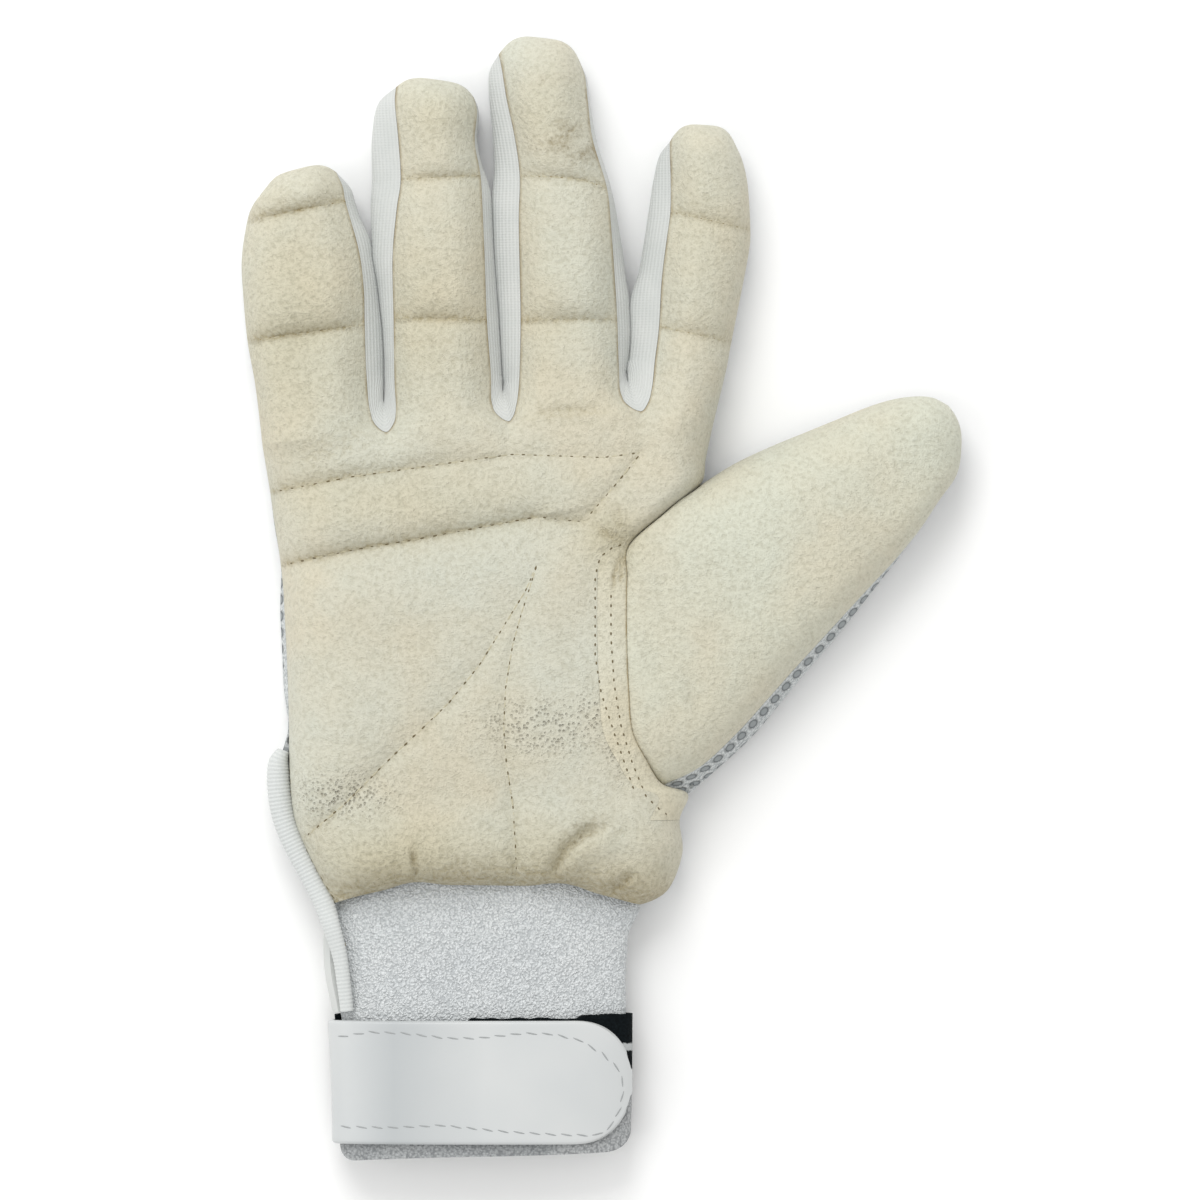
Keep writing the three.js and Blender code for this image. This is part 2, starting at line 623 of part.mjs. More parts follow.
// Solid between two matching grids, closed at its edges; a ring also joins its last
// column to its first.
function layeredSolid(outer, inner, ring) {
  const rows = outer.length;
  const columns = outer[0].length;
  const points = [...outer.flat(), ...inner.flat()];
  const count = rows * columns;
  const indices = [];
  const spans = ring ? columns : columns - 1;
  const at = (i, j) => i * columns + (j % columns);
  const quad = (a, b, c, d) => indices.push(a, b, c, a, c, d);
  for (let i = 0; i + 1 < rows; i += 1) {
    for (let j = 0; j < spans; j += 1) {
      quad(at(i, j), at(i, j + 1), at(i + 1, j + 1), at(i + 1, j));
      quad(count + at(i, j), count + at(i + 1, j), count + at(i + 1, j + 1), count + at(i, j + 1));
    }
    if (!ring) {
      quad(at(i, 0), at(i + 1, 0), count + at(i + 1, 0), count + at(i, 0));
      quad(at(i + 1, spans), at(i, spans), count + at(i, spans), count + at(i + 1, spans));
    }
  }
  for (let j = 0; j < spans; j += 1) {
    quad(at(0, j + 1), at(0, j), count + at(0, j), count + at(0, j + 1));
    quad(at(rows - 1, j), at(rows - 1, j + 1), count + at(rows - 1, j + 1), count + at(rows - 1, j));
  }
  return buildGeometry(points, indices);
}

// Point round the wrist: facet counts from the right side over the palm side to the left.
function wristPoint(y, facet, offset) {
  const t = wristRow(y);
  const row = sample(wrist, t);
  const angle = (2 * Math.PI * facet) / wristFacets;
  const across = (row.right - row.left) / 2 + offset;
  const up = (row.top - row.bottom) / 2 + offset;
  const power = 2 / wristSquareness;
  const x = across * Math.sign(Math.cos(angle)) * Math.abs(Math.cos(angle)) ** power;
  const z = up * Math.sign(Math.sin(angle)) * Math.abs(Math.sin(angle)) ** power;
  return new THREE.Vector3((row.left + row.right) / 2 + x, y, (row.bottom + row.top) / 2 + z);
}

function wristRow(y) {
  for (let i = 0; i + 1 < wrist.length; i += 1) {
    if (y >= wrist[i + 1].y) {
      return i + (wrist[i].y - y) / (wrist[i].y - wrist[i + 1].y);
    }
  }
  return wrist.length - 1;
}

const group = new THREE.Group();

function addPiece(name, geometry, surface) {
  const piece = new THREE.Mesh(geometry, new THREE.MeshStandardMaterial(surface));
  piece.name = name;
  group.add(piece);
}

// Pouch
const palmRowPositions = steps(0, palmFront.length - 1, palmFront.length - 1);
const palmColumnPositions = [
  ...fingers.flatMap((_, n) => fingerColumns.slice(0, -1).map((k) => n + k)),
  fingers.length,
];
const frontPalm = grid(palmRowPositions, palmColumnPositions, palmPointFront);
const backPalm = grid(palmRowPositions, palmColumnPositions, palmPointBack);
const fingerRows = (finger) => {
  const last = finger.stations.length - 1;
  return steps(0, last, last * rowsPerStation);
};
const fingerFronts = fingers.map((finger) =>
  grid(fingerRows(finger), fingerColumns, (t, k) => fingerFront(finger, t, k)));
const fingerBacks = fingers.map((finger) =>
  grid(fingerRows(finger), fingerColumns, (t, k) => fingerBack(finger, t, k)));

const lastColumn = palmColumnPositions.length - 1;
const frontUpper = frontPalm.slice(0, thumbCrotchRow + 1);
const besideThumb = frontPalm.slice(thumbCrotchRow, thumbHeelRow + 1);
const frontMiddle = besideThumb.map((row) => row.slice(0, lastColumn));
const bandRows = besideThumb.map((row) => row.slice(lastColumn - 1));
const frontLower = frontPalm.slice(thumbHeelRow);

const thumbRows = steps(0, thumbStations.length - 1, (thumbStations.length - 1) * thumbRowsPerStation);
const thumbColumns = steps(0, 1, thumbHeelRow - webRow);
const thumbFrontGrid = grid(thumbRows, thumbColumns, thumbFront);
const thumbBackGrid = grid(thumbRows, thumbColumns, thumbBack);

const gussetGrid = (left, right) => {
  const leftRows = fingerRows(left).reverse().map((t) => -t);
  const rightRows = fingerRows(right).slice(1);
  return grid([...leftRows.slice(0, -1), 0, ...rightRows], gussetColumns, (s, k) =>
    gussetPoint(left, right, s, k));
};

// Palm rows run down the hand, so they face the other way from finger rows.
const panels = [
  {
    name: "front_panel",
    triangles: [
      ...[frontUpper, frontMiddle, frontLower].flatMap((part) => gridTriangles(part, true)),
      ...fingerFronts.flatMap((part) => gridTriangles(part, false)),
    ],
    thickness: chamoisThickness,
    surface: surfaces.chamois,
  },
  {
    name: "thumb_seam_band",
    triangles: gridTriangles(bandRows, true),
    thickness: bandThickness,
    surface: surfaces.chamoisBand,
  },
  {
    name: "thumb_front",
    triangles: gridTriangles(thumbFrontGrid, false),
    thickness: chamoisThickness,
    surface: surfaces.chamois,
  },
  {
    name: "thumb_back",
    triangles: gridTriangles(thumbBackGrid, true),
    thickness: meshThickness,
    surface: surfaces.mesh,
  },
  {
    name: "back_panel",
    triangles: [
      ...gridTriangles(backPalm, false),
      ...fingerBacks.flatMap((part) => gridTriangles(part, true)),
    ],
    thickness: meshThickness,
    surface: surfaces.mesh,
  },
  {
    name: "gusset_little_ring",
    triangles: gridTriangles(gussetGrid(littleFinger, ringFinger), true),
    thickness: gussetThickness,
    surface: surfaces.knit,
  },
  {
    name: "gusset_ring_middle",
    triangles: gridTriangles(gussetGrid(ringFinger, middleFinger), true),
    thickness: gussetThickness,
    surface: surfaces.knit,
  },
  {
    name: "gusset_middle_index",
    triangles: gridTriangles(gussetGrid(middleFinger, indexFinger), true),
    thickness: gussetThickness,
    surface: surfaces.knit,
  },
];
for (const panel of panels) {
  addNormals(panel.triangles);
}
for (const { name, triangles, thickness, surface } of panels) {
  addPiece(name, sheetPanel(triangles, thickness), surface);
}

// Wrist sleeve and what lies on it
const wristRing = steps(0, wristFacets - 1, wristFacets - 1);
const cuffRows = wrist.filter((row) => row.y > cuffMouthY).map((row) => row.y).concat(cuffMouthY);
const ring = (rows, offset) => grid(rows, wristRing, (y, facet) => wristPoint(y, facet, offset));
addPiece("cuff", layeredSolid(ring(cuffRows, 0), ring(cuffRows, -cuffThickness), true), surfaces.boucle);

const foldFacets = steps(knitFold.firstFacet, knitFold.lastFacet, knitFold.divisions);
const foldSheet = (offset) => grid(knitFold.rows, foldFacets, (y, facet) => wristPoint(y, facet, offset));
addPiece(
  "vent_knit_fold",
  layeredSolid(foldSheet(seamGap + knitFold.thickness), foldSheet(seamGap), false),
  surfaces.knit,
);

// The lower edge of the dark band drops from the palm side to the back of the wrist.
const bandLower = (facet) => {
  const behind = facet > loopPatch.lastFacet + 1 && facet < wristFacets + loopPatch.firstFacet - 1;
  return behind ? bandRing.backLowerY : bandRing.frontLowerY;
};
const bandSheet = (offset) => grid(bandRing.rows, wristRing, (k, facet) =>
  wristPoint(mix(bandRing.upperY, bandLower(facet), k), facet, offset));
addPiece(
  "wrist_band",
  layeredSolid(bandSheet(seamGap + bandRing.thickness), bandSheet(seamGap), true),
  surfaces.dark,
);

const patchSpan = loopPatch.lastFacet - loopPatch.firstFacet;
const patchFacets = steps(loopPatch.firstFacet, loopPatch.lastFacet, patchSpan);
const patchSheet = (offset) => grid(loopPatch.rows, patchFacets, (k, facet) => {
  const along = (facet - loopPatch.firstFacet) / patchSpan;
  const turns = 2 - rise(along, loopPatch.rightTurn, true) - rise(1 - along, loopPatch.leftTurn, true);
  const corner = loopPatch.corner * turns;
  const lower = mix(loopPatch.rightLowerY, loopPatch.leftLowerY, along) + corner;
  return wristPoint(mix(loopPatch.upperY, lower, k), facet, offset);
});
addPiece(
  "loop_patch",
  layeredSolid(patchSheet(seamGap + loopPatch.thickness), patchSheet(seamGap), false),
  surfaces.loop,
);

const strapSheet = (offset) => grid(strapShape.rows, strapShape.facets, (k, facet) => {
  const x = wristPoint(strapShape.midY, facet, offset).x;
  const toEnd = Math.max(0, (x - strapShape.bodyEndX) / (strapShape.endX - strapShape.bodyEndX));
  const round = Math.sqrt(Math.max(0, 1 - Math.min(1, toEnd) ** strapShape.endPower));
  const half = Math.max(strapShape.endHalfWidth, strapShape.halfWidth * round);
  return wristPoint(strapShape.midY - half * k, facet, offset);
});
const strapOffset = seamGap + loopPatch.thickness + seamGap;
addPiece(
  "strap",
  layeredSolid(strapSheet(strapOffset + strapShape.thickness), strapSheet(strapOffset), false),
  surfaces.coated,
);

// Binding: an oval section carried along its path, rolled over where it lies on the wrist.
const bindingLast = bindingStations.length - 1;
const bindingRows = steps(0, bindingLast, bindingLast * bindingRowsPerStation);
const bindingRing = (t) => {
  const here = sample(bindingStations, t);
  const ahead = sample(bindingStations, Math.min(t + bindingStep, bindingLast));
  const behind = sample(bindingStations, Math.max(t - bindingStep, 0));
  const along = new THREE.Vector3(ahead.x - behind.x, ahead.y - behind.y, 0).normalize();
  const side = new THREE.Vector3(-along.y, along.x, 0);
  const up = new THREE.Vector3(0, 0, 1);
  const roll = (here.roll * Math.PI) / 180;
  return steps(0, bindingFacets - 1, bindingFacets - 1).map((n) => {
    const angle = (2 * Math.PI * n) / bindingFacets;
    const a = (here.width / 2) * Math.cos(angle);
    const b = (here.height / 2) * Math.sin(angle);
    return new THREE.Vector3(here.x, here.y, here.z)
      .addScaledVector(side, a * Math.cos(roll) - b * Math.sin(roll))
      .addScaledVector(up, a * Math.sin(roll) + b * Math.cos(roll));
  });
};

function tube(rings) {
  const size = rings[0].length;
  const sum = (points) => points.reduce((total, p) => total.add(p), new THREE.Vector3());
  const middle = (points) => sum(points).divideScalar(size);
  const points = [...rings.flat(), middle(rings[0]), middle(rings[rings.length - 1])];
  const indices = [];
  for (let i = 0; i + 1 < rings.length; i += 1) {
    for (let j = 0; j < size; j += 1) {
      const [a, b] = [i * size + j, i * size + ((j + 1) % size)];
      indices.push(a, b, b + size, a, b + size, a + size);
    }
  }
  const last = (rings.length - 1) * size;
  for (let j = 0; j < size; j += 1) {
    const next = (j + 1) % size;
    indices.push(points.length - 2, next, j, points.length - 1, last + j, last + next);
  }
  return buildGeometry(points, indices);
}
addPiece("vent_binding", tube(bindingRows.map(bindingRing)), surfaces.ribbed);

// The origin is under the middle of the glove, on the floor.
const box = new THREE.Box3().setFromObject(group);
const middle = box.getCenter(new THREE.Vector3());
group.position.set(-middle.x, -middle.y, -box.min.z);

export default group;
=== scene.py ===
import math

import bpy
import numpy as np
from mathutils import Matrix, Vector
from mathutils.bvhtree import BVHTree


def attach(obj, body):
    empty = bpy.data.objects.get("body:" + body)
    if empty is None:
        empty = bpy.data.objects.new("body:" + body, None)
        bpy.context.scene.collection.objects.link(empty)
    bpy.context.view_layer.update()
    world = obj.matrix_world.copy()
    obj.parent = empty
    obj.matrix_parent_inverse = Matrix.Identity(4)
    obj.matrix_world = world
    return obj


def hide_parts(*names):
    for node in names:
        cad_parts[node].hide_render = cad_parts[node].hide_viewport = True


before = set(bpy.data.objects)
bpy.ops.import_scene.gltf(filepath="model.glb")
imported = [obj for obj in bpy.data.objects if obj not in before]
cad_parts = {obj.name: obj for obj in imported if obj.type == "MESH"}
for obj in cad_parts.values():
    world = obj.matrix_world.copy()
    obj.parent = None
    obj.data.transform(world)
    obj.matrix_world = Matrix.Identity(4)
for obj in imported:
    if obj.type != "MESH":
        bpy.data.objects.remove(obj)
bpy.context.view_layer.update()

# Inner glove for a wicketkeeper's right hand, lying on its back with the palm up.
# Tables are in millimetres, with +Y to the fingertips, +X to the thumb and +Z up.
mm = 0.001
perMetre = 1000
tableShift = np.array([0.019, -0.094, 0.0])  # from the tables to the model's own origin

# A short table as named columns.
def table(columns, rows):
    values = np.array(rows, float)
    return {name: values[:, n] for n, name in enumerate(columns.split())}


stationColumns = "leftX leftY rightX rightY leftSeam rightSeam leftOut rightOut bow top"
palmColumns = "leftX leftY rightX rightY leftSeam rightSeam bow top"

fingers = [
    {"leftGusset": False, "rightGusset": True, "stations": table(stationColumns, [
        [-75.4, 34.4, -47.6, 37.1, 5, 17, 0, 0, 0, 19.5],
        [-76.0, 40.0, -51.0, 41.0, 5, 15, 0, 2.4, 0, 19],
        [-77.1, 48.5, -52.1, 50.0, 5, 12.5, 0, 3.5, 0, 18.5],
        [-78.7, 57.5, -52.5, 61.0, 5, 12, 0, 3.2, 0, 18],
        [-79.6, 67.0, -52.7, 69.0, 5, 12, 0, 2.5, 0, 18],
        [-80.0, 75.5, -53.8, 77.5, 5, 11.5, 0, 2.7, 0, 17.5],
        [-78.9, 83.5, -56.7, 88.0, 5.5, 10.5, 0, 2.4, 0.5, 17],
        [-77.5, 87.6, -57.4, 91.6, 6.5, 9.5, 0, 1.8, 2, 17],
        [-74.6, 90.9, -58.9, 95.0, 8, 8, 0, 0, 2.9, 16],
    ])},
    {"leftGusset": True, "rightGusset": True, "stations": table(stationColumns, [
        [-47.6, 37.1, -20.5, 39.5, 17, 17, 0, 0, 0, 19.5],
        [-45.6, 41.0, -24.1, 43.0, 15, 15, 1.9, 1.5, 0, 19],
        [-45.9, 49.0, -24.5, 50.0, 12.5, 12.5, 2.1, 1.8, 0, 18.5],
        [-46.1, 62.5, -25.4, 62.2, 12, 12, 2.3, 1.8, 0, 18],
        [-46.3, 76.0, -25.9, 76.0, 12, 12, 4.4, 1.7, 0, 18],
        [-45.4, 86.5, -26.3, 85.5, 12, 12, 6, 1.6, 0, 17.5],
        [-44.5, 93.2, -26.8, 94.1, 11.5, 11.5, 6.6, 1, 0, 17.5],
        [-45.0, 102.0, -28.1, 101.7, 11, 11, 6.2, 0.6, 0.5, 17],
        [-45.8, 110.2, -27.6, 108.3, 10, 10, 4.0, 0.4, 1.6, 17],
        [-45.6, 113.9, -28.3, 111.5, 8, 8, 0, 0, 2.9, 16],
    ])},
    {"leftGusset": True, "rightGusset": True, "stations": table(stationColumns, [
        [-20.5, 39.5, 8.8, 41.7, 17, 17, 0, 0, 0, 19.5],
        [-19.0, 42.5, 4.6, 45.0, 15, 15, 2.3, 1.8, 0, 19],
        [-18.2, 49.0, 3.9, 51.0, 12.5, 12.5, 3.3, 2.0, 0, 18.5],
        [-17.9, 62.0, 3.5, 62.2, 12, 12, 4.2, 2.4, 0, 18],
        [-18.1, 73.3, 2.8, 73.7, 12, 12, 5.0, 2.7, 0, 18],
        [-18.3, 84.4, 2.1, 83.3, 12, 12, 5.4, 1.9, 0, 17.5],
        [-18.1, 94.1, 1.2, 91.5, 11.5, 11.5, 5.8, 1.1, 0, 17.5],
        [-19.2, 102.5, -1.9, 102.0, 11, 11, 5, 1, 0, 17.5],
        [-21.0, 111.0, -3.0, 110.5, 10.5, 10.5, 4, 0.5, 1, 17.5],
        [-22.0, 117.3, -3.6, 115.9, 9.5, 9.5, 3.0, 0.4, 2.6, 17],
        [-22.8, 121.2, -4.6, 119.0, 8, 8, 0, 0, 4.8, 16],
    ])},
    {"leftGusset": True, "rightGusset": False, "stations": table(stationColumns, [
        [8.8, 41.7, 24.5, 37.7, 17, 6, 0, 0, 0, 19.5],
        [11.0, 46.0, 26.1, 44.4, 15, 6, 3.6, 0, 0, 19],
        [11.9, 53.3, 27.8, 51.5, 12.5, 6, 4.9, 0, 0, 18.5],
        [12.8, 60.6, 28.9, 57.5, 12, 6, 5.6, 0, 0, 18],
        [13.4, 71.0, 31.3, 69.5, 12, 6, 5.4, 0, 0, 18],
        [14.5, 80.0, 32.7, 77.0, 12, 6, 5.1, 0, 0, 17.5],
        [15.3, 86.0, 33.1, 82.0, 11.5, 6, 5, 0, 0.5, 17.5],
        [15.4, 93.0, 32.5, 92.0, 10.5, 6.5, 4, 0, 1, 17],
        [15.2, 98.7, 31.3, 97.6, 9.5, 7, 2.4, 0, 2.2, 17],
        [15.2, 101.8, 29.8, 100.9, 8, 8, 0, 0, 4.2, 16],
    ])},
]

palmFront = table(palmColumns, [
    [-75.4, 34.4, 24.5, 37.7, 5, 6, 0, 19.5],
    [-74.5, 29.0, 23.2, 31.5, 5, 6, 0, 19.5],
    [-73.6, 23.5, 21.9, 25.5, 5, 6, 0, 20],
    [-72.7, 17.0, 14.0, 19.1, 5, 14.5, 0, 20.5],
    [-71.6, 10.0, 6.1, 12.2, 5, 17.6, 0, 21],
    [-70.8, 3.0, 5.7, 5.0, 5, 19.2, 0, 21.5],
    [-70.4, -4.5, 5.6, -3.0, 5, 19.7, 0, 21.5],
    [-70.0, -12.0, 5.7, -11.0, 5, 19.7, 0, 21.5],
    [-69.7, -20.0, 6.1, -20.0, 5, 19.6, 0, 21.5],
    [-69.5, -28.0, 6.9, -29.0, 5, 19.0, 0, 21.5],
    [-69.4, -36.0, 10.0, -35.4, 7, 17.2, 0, 21],
    [-69.0, -43.0, 13.4, -40.6, 8, 13.0, 0, 20.5],
    [-68.2, -48.5, 19.2, -43.1, 8.5, 7, 0, 20.5],
    [-66.5, -53.3, 17.4, -48.8, 9, 6, 1, 21],
    [-63.8, -59.0, 18.0, -56.2, 9.5, 6, 2, 21],
    [-61.4, -63.8, 14.9, -64.4, 9.5, 6, 3.2, 19.5],
    [-59.4, -67.3, 9.3, -68.2, 10, 7, 4.5, 16.5],
])
palmBack = table(palmColumns, [
    [-75.4, 34.4, 24.5, 37.7, 5, 6, 0, 0],
    [-74.5, 29.0, 23.2, 31.5, 5, 6, 0, 0],
    [-73.6, 23.5, 21.9, 25.5, 5, 6, 0, 0],
    [-72.8, 17.0, 22.5, 19.0, 5, 4.5, 0, 0],
    [-71.6, 10.0, 21.8, 12.5, 5, 3.5, 0, 0],
    [-70.8, 3.0, 21.3, 5.0, 5, 3.5, 0, 0],
    [-70.4, -4.5, 20.9, -3.0, 5, 3.5, 0, 0],
    [-70.0, -12.0, 20.5, -11.0, 5, 3.5, 0, 0],
    [-69.7, -20.0, 20.0, -20.0, 5, 3.5, 0, 0],
    [-69.5, -28.0, 19.5, -29.0, 5, 3.5, 0, 0],
    [-71.6, -36.0, 19.0, -35.4, 3.5, 3.5, 0, 0],
    [-72.2, -43.0, 18.3, -41.0, 3.5, 4.5, 0, 0],
    [-71.4, -49.0, 19.2, -43.1, 3.5, 7, 0, 0],
    [-69.2, -53.5, 17.4, -48.8, 3.5, 6, 0, 0],
    [-66.0, -59.5, 18.0, -56.2, 3.5, 6, 0, 0],
    [-63.2, -64.5, 14.9, -64.4, 3.5, 6, 0, 0],
    [-61.6, -68.3, 9.3, -68.2, 3.5, 7, 0, 0],
])
thumbStations = table(stationColumns, [
    [21.9, 25.5, 14.0, -41.1, 6, 12, 0, 7, 0, 21],
    [29.4, 30.2, 21.9, -37.1, 6, 10.5, 0, 4.3, 0, 21.5],
    [37.4, 34.0, 30.0, -29.6, 6, 10, 0, 3.9, 0, 21.5],
    [45.2, 37.2, 36.6, -22.3, 6, 10, 0, 3.4, 0, 21],
    [51.8, 39.9, 43.0, -15.1, 6, 10, 0, 3.0, 0, 20.5],
    [58.7, 42.7, 50.7, -6.7, 6, 10, 0, 2.7, 0, 20],
    [64.0, 44.4, 58.7, 2.0, 6, 9.5, 0, 1.7, 0, 19],
    [68.9, 45.2, 65.6, 9.4, 6.5, 9, 0, 0.7, 0.5, 18],
    [73.4, 45.0, 71.3, 16.5, 7, 8.5, 0, 0.2, 1.4, 17],
    [77.0, 43.2, 75.6, 23.5, 8, 8, 0, 0, 3.6, 16],
])
wrist = table("y left right bottom top", [
    [-61, -54.5, 5.0, 2.3, 12.6],
    [-66, -58.4, 8.2, 2.2, 12.8],
    [-68.5, -59.2, 8.6, 2.1, 12.9],
    [-71, -59.6, 7.4, 2.0, 13],
    [-73.5, -59.8, 6.2, 1.9, 13.1],
    [-76, -59.9, 5.8, 1.8, 13.2],
    [-83, -59.5, 5.4, 1.8, 13.2],
    [-92, -57.8, 5.4, 1.8, 13.2],
    [-106, -56.9, 5.3, 1.8, 13.2],
    [-121, -56.6, 5.0, 1.8, 13],
    [-126, -56.8, 4.4, 1.8, 12.9],
])
bindingStations = table("x y z width height roll", [
    [-70.6, -33.4, 7.6, 2.6, 2.6, 0],
    [-71.8, -36.6, 7.6, 4.6, 4.4, 0],
    [-71.5, -43.0, 7.8, 5.2, 4.8, 0],
    [-70.4, -48.7, 8.0, 5.2, 4.8, 0],
    [-67.9, -54.6, 8.4, 5.2, 4.8, 0],
    [-64.5, -61.0, 9.2, 5.0, 4.6, 0],
    [-61.7, -67.0, 10.8, 4.6, 3.8, 12],
    [-59.8, -72.5, 12.5, 4.2, 2.8, 24],
    [-58.0, -79.0, 12.5, 3.5, 2.4, 24],
    [-57.0, -86.0, 12.4, 3.2, 2.4, 22],
    [-56.4, -91.2, 12.3, 3.0, 2.4, 20],
])

roll = {"gusset": 8, "side": 12, "palmSide": 18, "thumbSeam": 12, "tip": 11, "back": 5, "power": 2.5}
pouch = {
    "backSeamHeight": 3.5, "webReach": 7, "bowPower": 2.8, "webRow": 2, "thumbCrotchRow": 4,
    "thumbHeelRow": 12, "thumbFrontRow": 11.1, "bandEndRow": 13, "bandWidth": 6.6, "bandTip": 1.0,
    "crotchBlendRows": 3, "bandShare": 0.84, "slitRound": 0.45, "slitRows": 1.3, "tipPower": 3.8,
    "backLeft": 0.75, "backRight": 0.5,  # shares of a strip's width that the back reaches under it
    "crotchRoll": 6.5, "crotchAt": 2.8, "crotchReach": 1.6, "endRoll": 19, "endAt": 12.1, "endReach": 0.7,
}
thumbShape = {
    "creaseRows": 0.25, "overlap": 1.1, "overlapRows": 0.5, "overlapFrom": 0.08, "overlapTo": 0.4,
    "overlapWay": [-0.6, 0.8], "bendRows": 3, "floor": 1.5, "tipLift": 4.0, "tipRows": 3, "flatReach": 0.22,
    "joinRows": 2, "sideShare": 0.7, "inset": 5.0, "outTurn": -41.0, "crown": 3.4,
}

# A list of lines in plan, each with its named numbers and its points.
def lines(columns, rows):
    return [dict(zip(columns.split() + ["points"], row)) for row in rows]


# Quilting seams. Above is the side to the left of the way that the points run, which is the
# fingers' side on seams that run from left to right.
# depth: how deep the seam pulls, above and below: how far the pull reaches on each side,
# puff: how far the pad swells above the seam, shade: how much shade is painted there, with the seam's own
# dark line.
quilts = lines("depth endDepth above below puff shade endShade", [
    [2.4, 1.2, 2.4, 5, 0.9, 0.9, 0.25, [[-72.5, 24.0], [-54.9, 27.3], [-40.5, 29.3], [-29.4, 30.9]]],
    [1.2, 0.4, 2.0, 3, 0.3, 0.2, 0.0, [[-29.4, 30.9], [-19.6, 32.2], [0.3, 31.5], [8.8, 32.6]]],
    [1.3, 1.6, 3.0, 2, 0.5, 0.1, 0.25, [[8.8, 32.6], [3.7, 26.2], [-3.2, 18.2]]],
    [3.0, 2.2, 3.0, 5, 1.1, 1.0, 0.6, [[-70.3, 7.8], [-54.9, 11.1], [-41.6, 13.3], [-27.2, 16.0],
        [-14.1, 18.4]]],
    [2.0, 1.3, 2.4, 3, 0.6, 0.5, 0.4, [[-14.1, 18.4], [-9.7, 17.8], [-4.1, 17.3]]],
    [0.7, 1.9, 3.0, 3, 0.0, 0.0, 0.3, [[-14.1, 8.2], [-16.8, 2.0], [-21.6, -5.8], [-27.2, -14.7],
        [-33.9, -22.9], [-39.4, -28.2], [-47.2, -35.5], [-57.2, -45.5], [-66.0, -52.8]]],
    [0.6, 1.8, 2.6, 2.6, 0.0, 0.0, 0.2, [[-14.1, 8.2], [-17.6, -2.7], [-19.6, -9.8], [-21.2, -19.5],
        [-21.6, -28.4], [-21.0, -36.2], [-19.6, -45.3], [-19.0, -54.6], [-18.8, -62.0]]],
    [2.3, 2.3, 1.8, 4, 0.5, 1.0, 0.8, [[-76.7, 84.4], [-56.7, 88.5]]],
    [2.8, 2.3, 2.4, 4, 0.9, 1.0, 0.7, [[-77.2, 57.5], [-52.7, 61.0]]],
    [2.0, 2.0, 2.0, 4, 0.6, 0.7, 0.7, [[-44.5, 93.2], [-26.8, 94.1]]],
    [2.4, 2.4, 2.2, 4, 0.8, 0.8, 0.8, [[-46.1, 62.5], [-25.4, 62.2]]],
    [2.0, 2.2, 2.0, 4, 0.6, 0.6, 0.7, [[-18.1, 94.1], [-6.0, 93.4], [1.2, 91.5]]],
    [2.3, 2.3, 2.2, 4, 0.8, 0.8, 0.5, [[-17.9, 62.0], [3.5, 62.2]]],
    [1.8, 1.8, 2.0, 4, 0.5, 0.6, 0.4, [[15.3, 86.0], [33.0, 82.0]]],
    [1.9, 1.9, 2.0, 4, 0.6, 0.6, 0.4, [[12.8, 60.6], [28.5, 57.2]]],
])

# Creases and folds: depth may be below zero for a ridge, width is to where it fades on the
# right of the way that the points run, and farWidth the same on the left. shade is the painted shade along
# the crease.
folds = lines("depth width farWidth shade", [
    [2.3, 0.65, 1.9, 0.5, [[-10.8, -62.0], [-9.4, -58.5], [-6.9, -54.7], [-3.4, -52.0], [0.6, -50.6]]],
    [-1.0, 2.6, 2.6, 0.0, [[-8.3, -62.5], [-6.0, -58.0], [-2.2, -54.8], [3.4, -53.2]]],
    [1.5, 0.7, 1.5, 0.7, [[2.0, -64.6], [4.4, -62.9], [7.2, -61.0]]],
    [1.3, 0.8, 0.8, 0.7, [[-41.8, -54.8], [-41.2, -58.6], [-40.3, -62.6]]],
    [-0.5, 3.0, 3.0, 0.0, [[-55.0, -60.5], [-48.0, -58.5]]],
    [0.8, 1.3, 1.3, 0.3, [[-15.5, 40.6], [-8.0, 41.9], [0.5, 41.9]]],
    [0.8, 2.6, 2.6, 0.2, [[-68.0, 31.5], [-60.0, 33.0], [-52.0, 37.6]]],
    [0.9, 0.6, 0.6, 0.75, [[4.5, 10.0], [3.2, 6.7], [2.6, 3.0]]],
    [0.8, 0.5, 0.5, 0.6, [[5.3, 10.4], [4.5, 6.7], [4.1, 3.6]]],
    [0.45, 1.1, 1.1, 0.12, [[-43.5, 56.6], [-34.0, 56.9], [-27.0, 56.2]]],
    [0.4, 1.0, 1.0, 0.1, [[-43.0, 52.3], [-35.0, 52.9], [-27.0, 52.0]]],
    [0.3, 1.0, 1.0, 0.05, [[-42.0, 48.2], [-34.0, 48.7], [-28.0, 47.8]]],
    [0.9, 1.0, 1.0, 0.5, [[6.5, 12.6], [3.0, 13.8], [-1.0, 16.2]]],
    [0.7, 1.2, 1.2, 0.2, [[6.2, 13.2], [3.4, 18.0], [3.0, 21.0]]],
])
thumbFolds = lines("depth width farWidth shade", [
    [1.25, 1.5, 1.5, 0.0, [[7.8, 6.0], [12.3, -3.7], [15.9, -10.4], [18.9, -17.0], [21.9, -25.9]]],
    [-1.1, 1.8, 1.8, 0.0, [[7.9, 8.4], [13.0, -4.4], [15.7, -10.0], [19.6, -20.0]]],
    [0.9, 1.3, 1.3, 0.0, [[9.0, -8.9], [12.4, -14.8], [15.2, -20.7], [17.4, -27.4]]],
])


